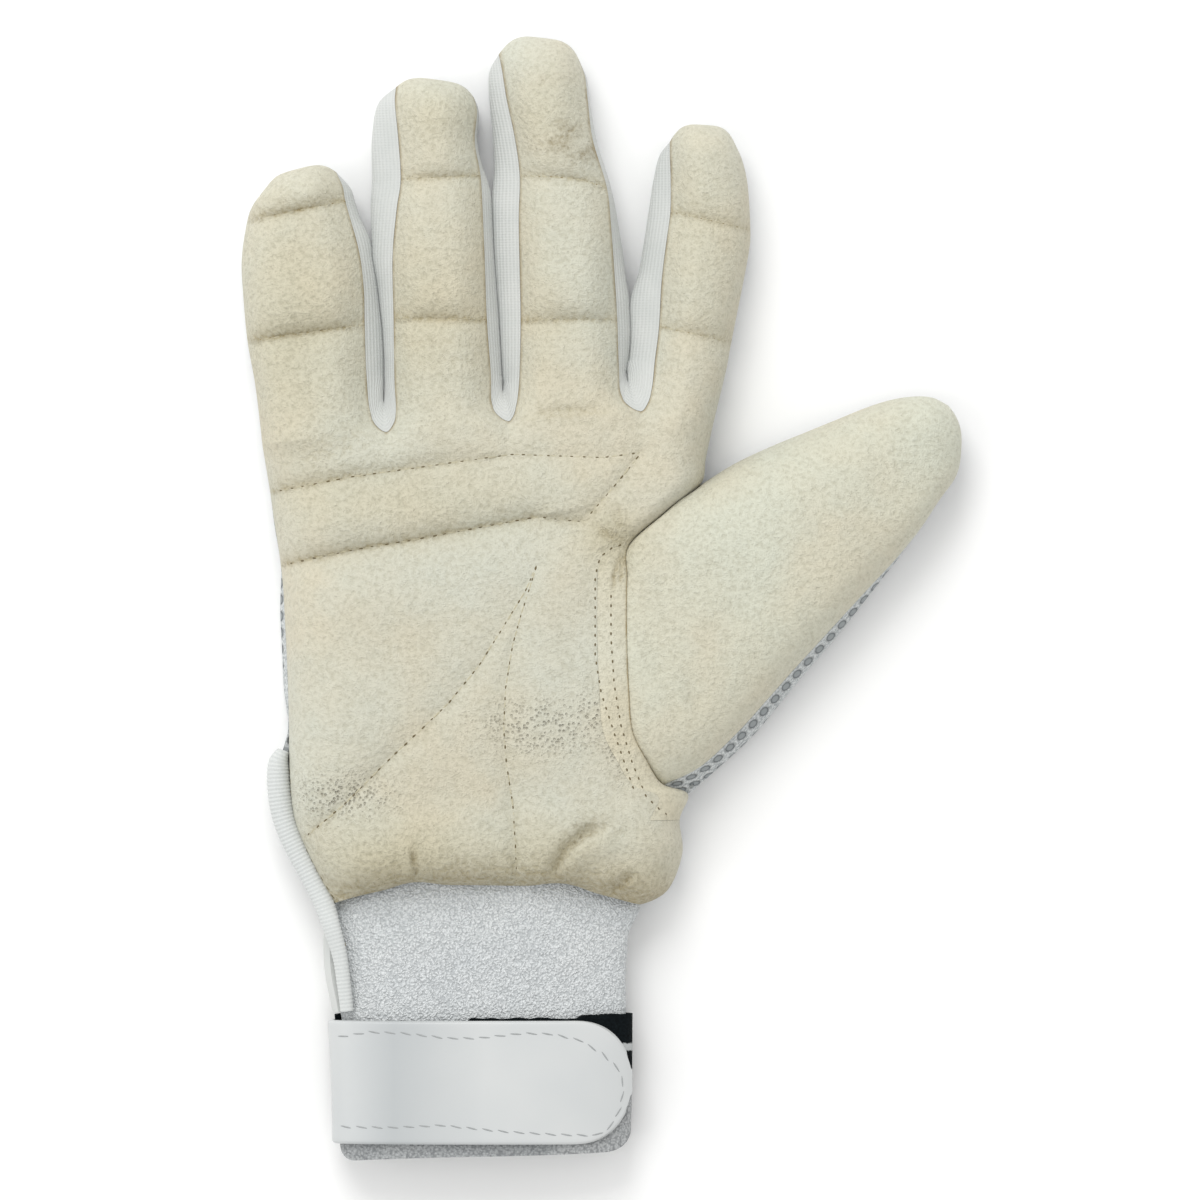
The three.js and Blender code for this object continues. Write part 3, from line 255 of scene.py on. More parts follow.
# Catmull-Rom between rows b and c of each column:
# (2b + (c-a)k + (2a-5b+4c-d)k^2 + (3b-a-3c+d)k^3) / 2.
def sample(rows, t):
    last = len(next(iter(rows.values()))) - 1
    i = np.clip(np.floor(t).astype(int), 0, last - 1)
    k = t - i
    picked = {}
    for name, values in rows.items():
        a, b, c, d = (values[np.clip(i + n, 0, last)] for n in (-1, 0, 1, 2))
        picked[name] = (2 * b + (c - a) * k + (2 * a - 5 * b + 4 * c - d) * k**2
                        + (3 * b - a - 3 * c + d) * k**3) / 2
    return picked


# The straight way from a to b, at the share k: a + (b - a) k.
def mix(a, b, k):
    return a + (b - a) * k


# 0 at an edge to 1 where level: sqrt(1 - rest^power) rolls over, 1 - rest^2 leaves a crease.
def rise(distance, reach, rounded):
    rest = 1 - np.clip(distance / reach, 0, 1)
    return np.sqrt(np.maximum(1 - rest**roll["power"], 0)) if rounded else 1 - rest * rest


# Distance from each point to a polyline, the share of its length there, and the side.
def nearPath(points, x, y):
    path = np.array(points, float)
    lengths = np.hypot(*np.diff(path, axis=0).T)
    starts = np.concatenate([[0], np.cumsum(lengths)])
    best = np.full(x.shape, np.inf)
    share = np.zeros(x.shape)
    side = np.zeros(x.shape)
    for n in range(len(path) - 1):
        (ax, ay), (bx, by) = path[n], path[n + 1]
        k = np.clip(((x - ax) * (bx - ax) + (y - ay) * (by - ay)) / lengths[n]**2, 0, 1)
        away = np.hypot(x - mix(ax, bx, k), y - mix(ay, by, k))
        closer = away < best
        best = np.where(closer, away, best)
        share = np.where(closer, (starts[n] + k * lengths[n]) / starts[-1], share)
        side = np.where(closer, np.sign((bx - ax) * (y - ay) - (by - ay) * (x - ax)), side)
    return best, share, side


# Small lumps of the padding under the leather.
padding = {"size": 11.0, "height": 0.35, "fineSize": 3.6, "fineHeight": 0.13}
# Along a seam: a dark line in it, partly the seam's own colour and partly painted shade in its
# groove, and a soft band of painted shade beside that on its upper side, where the pad rolls
# away from the light.
seamLineAndShade = {"line": 0.7, "lineShare": 0.6, "soft": 2.2, "softShare": 0.4, "softPower": 1.4}
seamForm = {"puffReach": 5.0, "foldFade": 1.25, "foldEnds": 0.02, "foldShade": 1.2}


# How far the quilting and the folds pull the surface down, and how much shade is painted along them.
# A seam pulls depth * exp(-d / reach), and above it the pad swells by puff * n * exp(1 - n)
# with n = d / puffReach; a fold pulls depth * exp(-(d / width)^2) and fades to its ends by
# foldFade * sqrt(sin(pi * share)). The padding's lumps are noise in plan.
def relief(x, y, quiltList, foldList):
    dip = np.zeros(x.shape)
    puff = np.zeros(x.shape)
    shade = np.zeros(x.shape)
    for seam in quiltList:
        d, share, side = nearPath(seam["points"], x, y)
        upper = side > 0
        depth = mix(seam["depth"], seam["endDepth"], share)
        dip = np.maximum(dip, depth * np.exp(-d / np.where(upper, seam["above"], seam["below"])))
        n = d / seamForm["puffReach"]
        puff = np.maximum(puff, np.where(upper, seam["puff"] * n * np.exp(1 - n), 0))
        dark = mix(seam["shade"], seam["endShade"], share)
        line = np.exp(-(d / seamLineAndShade["line"])**2)
        soft = np.exp(-(d / seamLineAndShade["soft"])**seamLineAndShade["softPower"])
        above = seamLineAndShade["lineShare"] * line + seamLineAndShade["softShare"] * soft
        # The seam's dark line, and painted shade on its upper side.
        shade = np.maximum(shade, dark * np.where(upper, above, seamLineAndShade["lineShare"] * line))
    for fold in foldList:
        d, share, side = nearPath(fold["points"], x, y)
        share = np.clip(share, seamForm["foldEnds"], 1 - seamForm["foldEnds"])
        fade = np.clip(seamForm["foldFade"] * np.sqrt(np.sin(np.pi * share)), 0, 1)
        width = np.where(side > 0, fold["farWidth"], fold["width"])
        dip = dip + fold["depth"] * fade * np.exp(-(d / width)**2)
        # Painted shade along the fold.
        shade = np.maximum(shade, fold["shade"] * fade * np.exp(-(d / (seamForm["foldShade"] * width))**2))
    plan = np.stack([x, y, 0 * x], axis=-1)
    wobble = padding["height"] * lumps(plan, padding["size"], 3)
    wobble = wobble + padding["fineHeight"] * lumps(plan, padding["fineSize"], 5)
    return dip - puff - wobble, shade


lattice = 32


# Lattice noise of a seeded table: smooth steps f * f * (3 - 2f) between random values from
# -1 to 1, one cell a size.
def lumps(points, size, seed):
    cells = np.random.default_rng(seed).uniform(-1, 1, (lattice, lattice, lattice))
    p = points / size
    base = np.floor(p).astype(int)
    f = p - base
    f = f * f * (3 - 2 * f)
    total = 0
    for corner in range(8):
        step = np.array([corner & 1, corner >> 1 & 1, corner >> 2 & 1])
        at = (base + step) % lattice
        weight = np.prod(np.where(step, f, 1 - f), axis=-1)
        total = total + weight * cells[at[..., 0], at[..., 1], at[..., 2]]
    return total


# A row in plan: straight from left to right, bowed ahead by bow * (1 - |2k-1|^power).
def rowPoint(row, k):
    dx = row["rightX"] - row["leftX"]
    dy = row["rightY"] - row["leftY"]
    width = np.hypot(dx, dy)
    bow = row["bow"] * (1 - np.abs(2 * k - 1)**row.get("power", pouch["bowPower"]))
    return row["leftX"] + dx * k - dy / width * bow, row["leftY"] + dy * k + dx / width * bow, width


# Distance in plan from the middle of a row to the middle of the last row.
def tipDistance(rows, t):
    last = float(len(rows["top"]) - 1)
    hereX, hereY, _ = rowPoint(sample(rows, t), 0.5)
    tipX, tipY, _ = rowPoint(sample(rows, np.array(last)), 0.5)
    return np.hypot(tipX - hereX, tipY - hereY)


# Coordinates of any matching shapes as one array of points.
def stack(x, y, z):
    return np.stack(np.broadcast_arrays(x, y, z), axis=-1).astype(float)


# A finger's row; the slit beside a knit strip is rounded, so that in the first interval the
# edge runs ahead of the straight way by round * (sqrt(1 - (1-t)^2) - t) of the row's change.
def fingerRow(finger, t):
    rows = finger["stations"]
    row = sample(rows, t)
    first = np.clip(t, 0, 1)
    ahead = pouch["slitRound"] * (np.sqrt(1 - (1 - first)**2) - first)
    for name, open in (("leftX", finger["leftGusset"]), ("rightX", finger["rightGusset"])):
        if open:
            row[name] = row[name] + (rows[name][1] - rows[name][0]) * ahead
    row["power"] = pouch["tipPower"]
    return row


# A finger's side: a crease beside a knit strip, and a roll where there is none.
def sideRise(distance, hasGusset):
    return rise(distance, roll["gusset" if hasGusset else "side"], not hasGusset)


# Finger front: z = base + (top - relief - base) * left * right * tip, base between the seams.
def fingerFront(finger, t, k):
    row = fingerRow(finger, t)
    x, y, width = rowPoint(row, k)
    left = sideRise(k * width, finger["leftGusset"])
    right = sideRise((1 - k) * width, finger["rightGusset"])
    tip = rise(tipDistance(finger["stations"], t), roll["tip"], True)
    base = mix(row["leftSeam"], row["rightSeam"], k)
    dip, _ = relief(x, y, quilts, folds)
    return stack(x, y, base + (row["top"] - dip - base) * left * right * tip)


# Finger back: level with the floor, turning up to its seams over the back roll.
def fingerBack(finger, t, k):
    rows = finger["stations"]
    row = fingerRow(finger, t)
    last = len(rows["top"]) - 1
    toTip = np.maximum(0, t - last + 1)**2
    low = pouch["backSeamHeight"]
    leftSeam, rightSeam = row["leftSeam"], row["rightSeam"]
    if finger["leftGusset"]:
        leftSeam = np.where(t <= 0, low, mix(low, leftSeam, toTip))
    if finger["rightGusset"]:
        rightSeam = np.where(t <= 0, low, mix(low, rightSeam, toTip))
    row["leftX"] = row["leftX"] - pouch["backLeft"] * row["leftOut"]
    row["rightX"] = row["rightX"] + pouch["backRight"] * row["rightOut"]
    x, y, width = rowPoint(row, k)
    level = rise(k * width, roll["back"], True) * rise((1 - k) * width, roll["back"], True)
    tip = rise(tipDistance(rows, t), roll["tip"], True)
    return stack(x, y, mix(leftSeam, rightSeam, k) * (1 - level * tip))


# Where a palm column stands across the first row, as a share of the row.
def columnShare(column):
    finger = np.clip(np.floor(column).astype(int), 0, 3)
    left = np.array([f["stations"]["leftX"][0] for f in fingers])
    right = np.array([f["stations"]["rightX"][0] for f in fingers])
    x = mix(left[finger], right[finger], column - finger)
    first, last = palmFront["leftX"][0], palmFront["rightX"][0]
    return (x - first) / (last - first)


# Palm: columns count fingers from 0 to 4, t counts rows down from the crotches. The first
# rows follow the finger bases, and the last column narrows to the folded band.
def palmPoint(rows, onFinger, shape, t, column):
    t, column = np.broadcast_arrays(t, column)
    row = sample(rows, t)
    length = np.hypot(row["rightX"] - row["leftX"], row["rightY"] - row["leftY"])
    edge = columnShare(np.array(3 + pouch["bandShare"]))
    share = columnShare(column)
    narrow = np.minimum(1, t / pouch["thumbCrotchRow"])**2
    opened = np.clip(t - pouch["thumbCrotchRow"], 0, 1)
    bandNow = mix(pouch["bandTip"], pouch["bandWidth"], np.sqrt(1 - (1 - opened)**2))
    bandEdge = mix(edge, 1 - bandNow / length, narrow)
    onBand = mix(bandEdge, 1, (share - edge) / (1 - edge))
    k = np.where(share <= edge + 1e-9, share / edge * bandEdge, onBand)
    x, y, _ = rowPoint(row, k)
    base = np.zeros(t.shape + (3,))
    index = np.clip(np.floor(column).astype(int), 0, 3)
    for n, finger in enumerate(fingers):
        mine = index == n
        base[mine] = onFinger(finger, np.zeros(mine.sum()), column[mine] - n)
    firstRow = {name: values[0] for name, values in rows.items()}
    straightX, straightY, _ = rowPoint(firstRow, share)
    blend = np.maximum(0, 1 - t / pouch["crotchBlendRows"])**2
    last = len(rows["top"]) - 1
    corner = np.exp(-(1 - k) * length / heel["cornerReach"] - (last - t) / heel["cornerRows"])
    px = x + (base[..., 0] - straightX) * blend + heel["cornerMove"][0] * corner
    py = y + (base[..., 1] - straightY) * blend + heel["cornerMove"][1] * corner
    return shape(row, t, k, length, px, py, base, np.maximum(0, 1 - t / pouch["slitRows"])**2)


# Heel: the last row rolls down on to the cuff and is gathered where the pleats are (x, pull and
# reach), and its right corner is drawn in by cornerMove * exp(-d / cornerReach - rows / cornerRows).
heel = {"bottomY": -67.6, "shade": 0.8, "shadeReach": 4.6, "rollRows": 2.4, "edgeHeight": 13.1,
        "pleats": [[-41.5, 1.3, 4.5], [-8.5, 1.5, 5.0]], "nearRows": 1.2, "sideReach": 12,
        "ripple": 0.35, "waves": [[0.9, 1.0, 1.0], [0.47, 2.0, 0.7]],  # rate, start, share
        "cornerMove": [-0.5, 0.6], "cornerReach": 2.4, "cornerRows": 0.5}


# Palm front: rolled at both sides, pulled down by the relief, rippled and level at the heel's edge.
def palmFrontPoint(row, t, k, length, x, y, base, blend):
    seams = mix(row["leftSeam"], row["rightSeam"], k)
    left = rise(k * length, roll["palmSide"], True)
    crotch = np.exp(-((t - pouch["crotchAt"]) / pouch["crotchReach"])**2)
    bandEnd = np.exp(-((t - pouch["endAt"]) / pouch["endReach"])**2)
    rightRoll = mix(mix(roll["thumbSeam"], pouch["crotchRoll"], crotch), pouch["endRoll"], bandEnd)
    right = rise((1 - k) * length, rightRoll, True)
    dip, _ = relief(x, y, quilts, folds)
    last = len(palmFront["top"]) - 1
    toEdge = np.clip((t - last + heel["rollRows"]) / heel["rollRows"], 0, 1)
    near = np.exp(-np.maximum(0, last - t) / heel["nearRows"])
    waves = sum(part * np.sin(x * rate + start) for rate, start, part in heel["waves"])
    ripple = heel["ripple"] * near * waves
    z = seams + (row["top"] - dip + ripple - seams) * left * right
    middle = rise(k * length, heel["sideReach"], True) * rise((1 - k) * length, heel["sideReach"], True)
    z = mix(z, np.minimum(z, heel["edgeHeight"]), (1 - np.sqrt(1 - toEdge**2)) * middle)
    for px, pull, reach in heel["pleats"]:
        y = y + pull * near**3 * np.exp(-((x - px) / reach)**2)
    return stack(x, y, mix(z, base[..., 2], blend))


# The back's cloth shows beside the palm: out * (d / reach) exp(1 - d / reach), d from its edge.
backEdge = {"out": 1.9, "reach": 1.0, "middleRow": 6.8, "rows": 2.3}


# Palm back: z = the seams' height * (1 - level), where level rises over the back's rolls.
def palmBackPoint(row, t, k, length, x, y, base, blend):
    level = rise(k * length, roll["back"], True) * rise((1 - k) * length, roll["back"], True)
    d = k * length / backEdge["reach"]
    beside = np.exp(-((t - backEdge["middleRow"]) / backEdge["rows"])**4)
    x = x - backEdge["out"] * d * np.exp(1 - d) * beside
    return stack(x, y, mix(mix(row["leftSeam"], row["rightSeam"], k) * (1 - level), base[..., 2], blend))


# The palm's front by row and column.
def palmFrontAt(t, column):
    return palmPoint(palmFront, fingerFront, palmFrontPoint, t, column)


# The same for its back.
def palmBackAt(t, column):
    return palmPoint(palmBack, fingerBack, palmBackPoint, t, column)


# Where the strips of two fingers lie against each other, from the crotch up: y, x.
contacts = [
    [[46.2, -48.3], [53.3, -48.3], [60.4, -48.7], [69.7, -49.8], [76.4, -50.9]],
    [[46.4, -21.9], [51.3, -22.1], [63.5, -22.8], [78.1, -23.9], [87.9, -24.3]],
    [[48.4, 5.7], [51.9, 5.9], [55.5, 6.3], [59.9, 6.5], [64.6, 6.3]],
]
strip = {"part": 9.0, "gap": 0.05, "webRows": 2, "leftFinger": 0.6, "rightFinger": -0.55}


# Side strip between two fingers: s below 0 is the left finger's side, k runs from the front
# seam to the back seam, and it stands out by out * sin(pi k), with a web at the crotch. Up to
# where the strips part, out is the way to their line of contact.
def gussetPoint(leftFinger, rightFinger, contact, s, k):
    t = np.abs(s)
    line = np.array(contact)
    web = pouch["webReach"] * np.maximum(0, 1 - (t / strip["webRows"])**2)
    swell = np.sin(np.pi * k)
    places = []
    for finger, edge, share, name in ((leftFinger, 1.0, strip["leftFinger"], "rightOut"),
                                      (rightFinger, 0.0, strip["rightFinger"], "leftOut")):
        ends = np.full(t.shape, edge)
        clipped = np.minimum(t, len(finger["stations"]["top"]) - 1.0)
        front = fingerFront(finger, clipped, ends)
        back = fingerBack(finger, clipped, ends)
        place = mix(front, back, k[..., None])
        middle = mix(front, back, 0.5)
        out = share * sample(finger["stations"], clipped)[name]
        meet = np.interp(middle[..., 1], line[:, 0], line[:, 1]) - strip["gap"] * np.sign(share)
        meet = meet - middle[..., 0]
        near = np.clip((line[-1, 0] + strip["part"] - middle[..., 1]) / strip["part"], 0, 1)
        near = near * near * (3 - 2 * near)
        place[..., 0] += mix(out, meet, near) * swell
        place[..., 1] += web * swell
        places.append(place)
    return np.where((s < 0)[..., None], places[0], places[1])


# Thumb front: the first row is the palm's seam, and rows straighten towards the tip. Its fold
# lies over the band by overlap * sin(pi t / overlapRows), less towards the heel.
def thumbFrontAt(t, k):
    t, k = np.broadcast_arrays(t, k)
    row = sample(thumbStations, t)
    x, y, width = rowPoint(row, k)
    seam = palmFrontAt(mix(pouch["webRow"], pouch["thumbFrontRow"], k), np.full(k.shape, 4.0))
    first = {name: values[0] for name, values in thumbStations.items()}
    chordX, chordY, _ = rowPoint(first, k)
    bend = np.maximum(0, 1 - t / thumbShape["bendRows"])**2
    crease = np.maximum(0, 1 - t / thumbShape["creaseRows"])**2
    sides = np.sqrt(np.maximum(0, 1 - np.abs(2 * k - 1)**thumbShape["crown"]))
    tip = rise(tipDistance(thumbStations, t), roll["tip"], True)
    base = mix(row["leftSeam"], row["rightSeam"], k)
    over = thumbShape["overlap"] * np.sin(np.pi * np.clip(t / thumbShape["overlapRows"], 0, 1))
    over = over * np.sqrt(np.clip(1 - k / thumbShape["overlapTo"], 0, 1))
    over = over * np.clip(k / thumbShape["overlapFrom"], 0, 1)
    px = x + (seam[..., 0] - chordX) * bend + thumbShape["overlapWay"][0] * over
    py = y + (seam[..., 1] - chordY) * bend + thumbShape["overlapWay"][1] * over
    dip, _ = relief(px, py, [], thumbFolds)
    z = base + (row["top"] - dip - base) * sides * tip
    return stack(px, py, mix(z, seam[..., 2], crease))


# Thumb back in plan: under the thumb from the upper edge, then turning up past the lower seam
# and standing out beside it by rightOut * 4 u (1 - u), u across the turn.
def thumbUnderPlan(row, k, toTip):
    share = thumbShape["sideShare"]
    turn = np.maximum(0, (k - share) / (1 - share))
    _, _, width = rowPoint(row, 0.0)
    inset = thumbShape["inset"] * (1 - toTip)
    across = np.where(k < share, k / share * (width - inset), width - inset * (1 - turn)**2)
    out = row["rightOut"] * 4 * turn * (1 - turn)
    x, y, _ = rowPoint(row, mix(across / width, k, toTip))
    angle = math.radians(thumbShape["outTurn"])
    return x + out * math.cos(angle), y + out * math.sin(angle), turn


# Thumb back: the first row follows the palm's back to the heel, and back along the band's end.
def thumbBackAt(t, k):
    t, k = np.broadcast_arrays(t, k)
    row = sample(thumbStations, t)
    last = len(thumbStations["top"]) - 1
    share = thumbShape["sideShare"]
    joinRows, tipRows = thumbShape["joinRows"], thumbShape["tipRows"]
    x, y, turn = thumbUnderPlan(row, k, np.clip(t - last + joinRows, 0, joinRows) / joinRows)
    floor = thumbShape["floor"] + thumbShape["tipLift"] * (np.maximum(0, t - last + tipRows) / tipRows)**2
    under = mix(row["leftSeam"], floor, rise(k, thumbShape["flatReach"], True))
    risen = floor * (1 - turn * turn) + row["rightSeam"] * turn * turn
    tip = rise(tipDistance(thumbStations, t), roll["tip"], True)
    z = mix(mix(row["leftSeam"], row["rightSeam"], k), np.where(k < share, under, risen), tip)
    outermost = (1 + share) / 2
    column = np.full(k.shape, 4.0)
    below = palmBackAt(mix(pouch["webRow"], pouch["thumbHeelRow"], np.minimum(1, k / outermost)), column)
    past = np.maximum(0, (k - outermost) / (1 - outermost))
    above = palmFrontAt(mix(pouch["thumbHeelRow"], pouch["thumbFrontRow"], past), column)
    seam = np.where((k > outermost)[..., None], above, below)
    first = {name: values[0] for name, values in thumbStations.items()}
    firstX, firstY, _ = thumbUnderPlan(first, k, 0.0)
    bend = np.maximum(0, 1 - t / thumbShape["bendRows"])**2
    x = x + (seam[..., 0] - firstX) * bend
    y = y + (seam[..., 1] - firstY) * bend
    return stack(x, y, mix(z, seam[..., 2], np.maximum(0, 1 - t)**2))


wristShape = {"squareness": 2.6, "facets": 32}


# Round the wrist, from the right over the palm side, facet 0 to 32: the superellipse
# |x / across|^p + |z / up|^p = 1 with p its squareness, and both half sizes grown by the offset.
def wristPoint(y, facet, offset):
    t = np.interp(-y, -wrist["y"], np.arange(len(wrist["y"])))
    row = sample(wrist, t)
    angle = 2 * np.pi * facet / wristShape["facets"]
    power = 2 / wristShape["squareness"]
    across = (row["right"] - row["left"]) / 2 + offset
    up = (row["top"] - row["bottom"]) / 2 + offset
    x = across * np.sign(np.cos(angle)) * np.abs(np.cos(angle))**power
    z = up * np.sign(np.sin(angle)) * np.abs(np.sin(angle))**power
    return stack((row["left"] + row["right"]) / 2 + x, y, (row["bottom"] + row["top"]) / 2 + z)


# Grid of row and column positions for a shape function.
def positions(rows, columns):
    return np.meshgrid(np.asarray(rows, float), np.asarray(columns, float), indexing="ij")


# Quads of a grid, their order turned round where flip is set.
def gridFaces(rows, columns, flip):
    i, j = np.meshgrid(np.arange(rows - 1), np.arange(columns - 1), indexing="ij")
    a = (i * columns + j).ravel()
    quads = np.stack([a, a + 1, a + columns + 1, a + columns], axis=1)
    return quads[:, ::-1] if flip else quads


# Area normals: the cross product of each quad's diagonals summed at its corners.
def pointNormals(points, faces):
    cross = np.cross(points[faces[:, 2]] - points[faces[:, 0]], points[faces[:, 3]] - points[faces[:, 1]])
    normals = np.zeros(points.shape)
    for n in range(4):
        np.add.at(normals, faces[:, n], cross)
    return normals / np.maximum(np.linalg.norm(normals, axis=1, keepdims=True), 1e-12)


# Edges that one quad alone has, in that quad's order.
def rimEdges(faces, count):
    starts = faces.ravel()
    ends = np.roll(faces, -1, axis=1).ravel()
    real = starts != ends
    starts, ends = starts[real], ends[real]
    lonely = ~np.isin(starts * count + ends, ends * count + starts)
    return np.stack([starts[lonely], ends[lonely]], axis=1)


# Points that lie together become one; gives the points to keep, and the faces with an area.
def weld(points, faces, digits):
    _, first, back = np.unique(np.round(points, digits), axis=0, return_index=True, return_inverse=True)
    faces = back.ravel()[faces]
    corners = np.array([len(set(face)) for face in faces.tolist()])
    return first, faces[corners > 2]


masks = ("along", "across", "edge")


# A sheet from patches that share their edges: outer face, inner face at the thickness along
# the normals, and walls at the rims, where the sheet is pressed to the rim's thickness.
def sheetMesh(patches, thickness, drawBack=0.08):
    points, faces, extras, start = [], [], [], 0
    for patch in patches:
        grid = patch["points"]
        rows, columns = grid.shape[:2]
        points.append(grid.reshape(-1, 3))
        extras.append(np.stack([np.broadcast_to(patch.get(name, 0.0), grid.shape[:2]).ravel()
                                for name in masks], axis=1))
        faces.append(gridFaces(rows, columns, patch["flip"]) + start)
        start += rows * columns
    points, faces, extras = np.concatenate(points), np.concatenate(faces), np.concatenate(extras)
    first, faces = weld(points, faces, 2)
    points, extras = points[first], extras[first]
    normals = pointNormals(points, faces)
    rim = rimEdges(faces, len(points))
    centres = points[faces].mean(axis=1)
    inward = np.zeros(points.shape)
    for n in range(4):
        np.add.at(inward, faces[:, n], centres - points[faces[:, n]])
    inward /= np.maximum(np.linalg.norm(inward, axis=1, keepdims=True), 1e-12)
    onRim = np.zeros(len(points), bool)
    onRim[rim.ravel()] = True
    outer = points + inward * drawBack * onRim[:, None]
    depth = np.where(onRim, min(walls["rim"], thickness), thickness)
    inner = outer - normals * depth[:, None]
    count = len(points)
    rimWalls = np.stack([rim[:, 1], rim[:, 0], rim[:, 0] + count, rim[:, 1] + count], axis=1)
    mesh = {"points": np.concatenate([outer, inner]),
            "faces": np.concatenate([faces, faces[:, ::-1] + count, rimWalls])}
    return mesh | dict(zip(masks, np.concatenate([extras, extras]).T))


# Solid between two matching grids, closed at its edges; a ring also joins its last column.
def layeredMesh(outer, inner, ring):
    count = outer.shape[0] * outer.shape[1]
    index = np.arange(count).reshape(outer.shape[:2])
    if ring:
        index = np.concatenate([index, index[:, :1]], axis=1)
    corners = (index[:-1, :-1], index[:-1, 1:], index[1:, 1:], index[1:, :-1])
    top = np.stack([corner.ravel() for corner in corners], axis=1)
    faces = [top, top[:, ::-1] + count]
    rims = [index[0, ::-1], index[-1]]
    if not ring:
        rims += [index[:, 0], index[::-1, -1]]
    for rim in rims:
        a, b = rim[:-1], rim[1:]
        faces.append(np.stack([a, b, b + count, a + count], axis=1))
    points = np.concatenate([outer.reshape(-1, 3), inner.reshape(-1, 3)])
    return {"points": points, "faces": np.concatenate(faces)}


# Mesh object at the origin, smooth but for the edges that are sharper than an angle in degrees.
def makeObject(name, mesh, material, attributes=None, sharp=50):
    data = bpy.data.meshes.new(name)
    faces = mesh["faces"]
    doubled = faces == np.roll(faces, -1, axis=1)
    lists = [face[~same].tolist() for face, same in zip(faces, doubled)]
    data.from_pydata(((mesh["points"] + tableShift) * mm).tolist(), [], lists)
    data.validate()
    data.update()
    for key, values in (attributes or {}).items():
        layer = data.attributes.new(key, "FLOAT", "POINT")
        layer.data.foreach_set("value", np.asarray(values, np.float32))
    data.shade_smooth()
    data.set_sharp_from_angle(angle=math.radians(sharp))
    data.materials.append(material)
    thing = bpy.data.objects.new(name, data)
    bpy.context.scene.collection.objects.link(thing)
    return thing


# sRGB hex to linear: ((c + 0.055) / 1.055)^2.4 above 0.04045, c / 12.92 below.
def linear(code):
    parts = [int(code[n:n + 2], 16) / 255 for n in (0, 2, 4)]
    return tuple(((c + 0.055) / 1.055)**2.4 if c > 0.04045 else c / 12.92 for c in parts) + (1.0,)


# Kinds of shader node: type, settings, the inputs that take the values in turn, and the output.
nodeKinds = {name: ("ShaderNodeMath", {"operation": name.upper()}, (0, 1), 0) for name in (
    "add", "subtract", "multiply", "divide", "sine", "floor", "floored_modulo", "fract", "sqrt")}
nodeKinds.update({
    "limited": ("ShaderNodeMath", {"operation": "MULTIPLY", "use_clamp": True}, (0, 1), 0),
    "blend": ("ShaderNodeMix", {"data_type": "RGBA"}, (0, 6, 7), 2),
    "span": ("ShaderNodeMapRange", {}, ("Value", "From Min", "From Max", "To Min", "To Max"), "Result"),
    "place": ("ShaderNodeTexCoord", {}, (), "Object"),
    "x": ("ShaderNodeSeparateXYZ", {}, (0,), "X"),
    "y": ("ShaderNodeSeparateXYZ", {}, (0,), "Y"),
    "moved": ("ShaderNodeVectorMath", {"operation": "MULTIPLY_ADD"}, (0, 1, 2), 0),
    "noise": ("ShaderNodeTexNoise", {}, ("Vector", "Scale", "Detail", "Roughness"), "Fac"),
    "noiseColour": ("ShaderNodeTexNoise", {}, ("Vector", "Scale", "Detail"), "Color"),
    "pits": ("ShaderNodeTexVoronoi", {"feature": "F1"}, ("Vector", "Scale", "Randomness"), "Distance"),
    "curls": ("ShaderNodeTexVoronoi", {"feature": "SMOOTH_F1"},
              ("Vector", "Scale", "Randomness", "Smoothness"), "Distance"),
    "attribute": ("ShaderNodeAttribute", {}, (), "Fac"),
    "bump": ("ShaderNodeBump", {}, ("Height", "Distance"), "Normal"),
})


# Adds a node of one kind: sockets are linked and values set in turn, and its output comes back.
def addNode(tree, kind, *values, **settings):
    nodeType, fixed, inputs, output = nodeKinds[kind]
    node = tree.nodes.new(nodeType)
    for name, value in (fixed | settings).items():
        setattr(node, name, value)
    for name, value in zip(inputs, values):
        if isinstance(value, bpy.types.NodeSocket):
            tree.links.new(value, node.inputs[name])
        else:
            node.inputs[name].default_value = value
    return node.outputs[output]


# An empty material with its tree, its shader and the object's coordinates.
def newMaterial(name):
    material = bpy.data.materials.new(name)
    material.use_nodes = True
    tree = material.node_tree
    tree.nodes.clear()
    output = tree.nodes.new("ShaderNodeOutputMaterial")
    shader = tree.nodes.new("ShaderNodeBsdfPrincipled")
    tree.links.new(shader.outputs["BSDF"], output.inputs["Surface"])
    return material, tree, shader, addNode(tree, "place")


# Colour and bump go to the shader by links, and what is the same all over on its own sockets.
def finishMaterial(tree, shader, colour, height, depth, **even):
    tree.links.new(colour, shader.inputs["Base Color"])
    tree.links.new(addNode(tree, "bump", height, depth * mm), shader.inputs["Normal"])
    for name, value in even.items():
        shader.inputs[evenInputs[name]].default_value = value


evenInputs = {"rough": "Roughness", "shine": "Specular IOR Level", "sheen": "Sheen Weight",
              "sheenRough": "Sheen Roughness"}


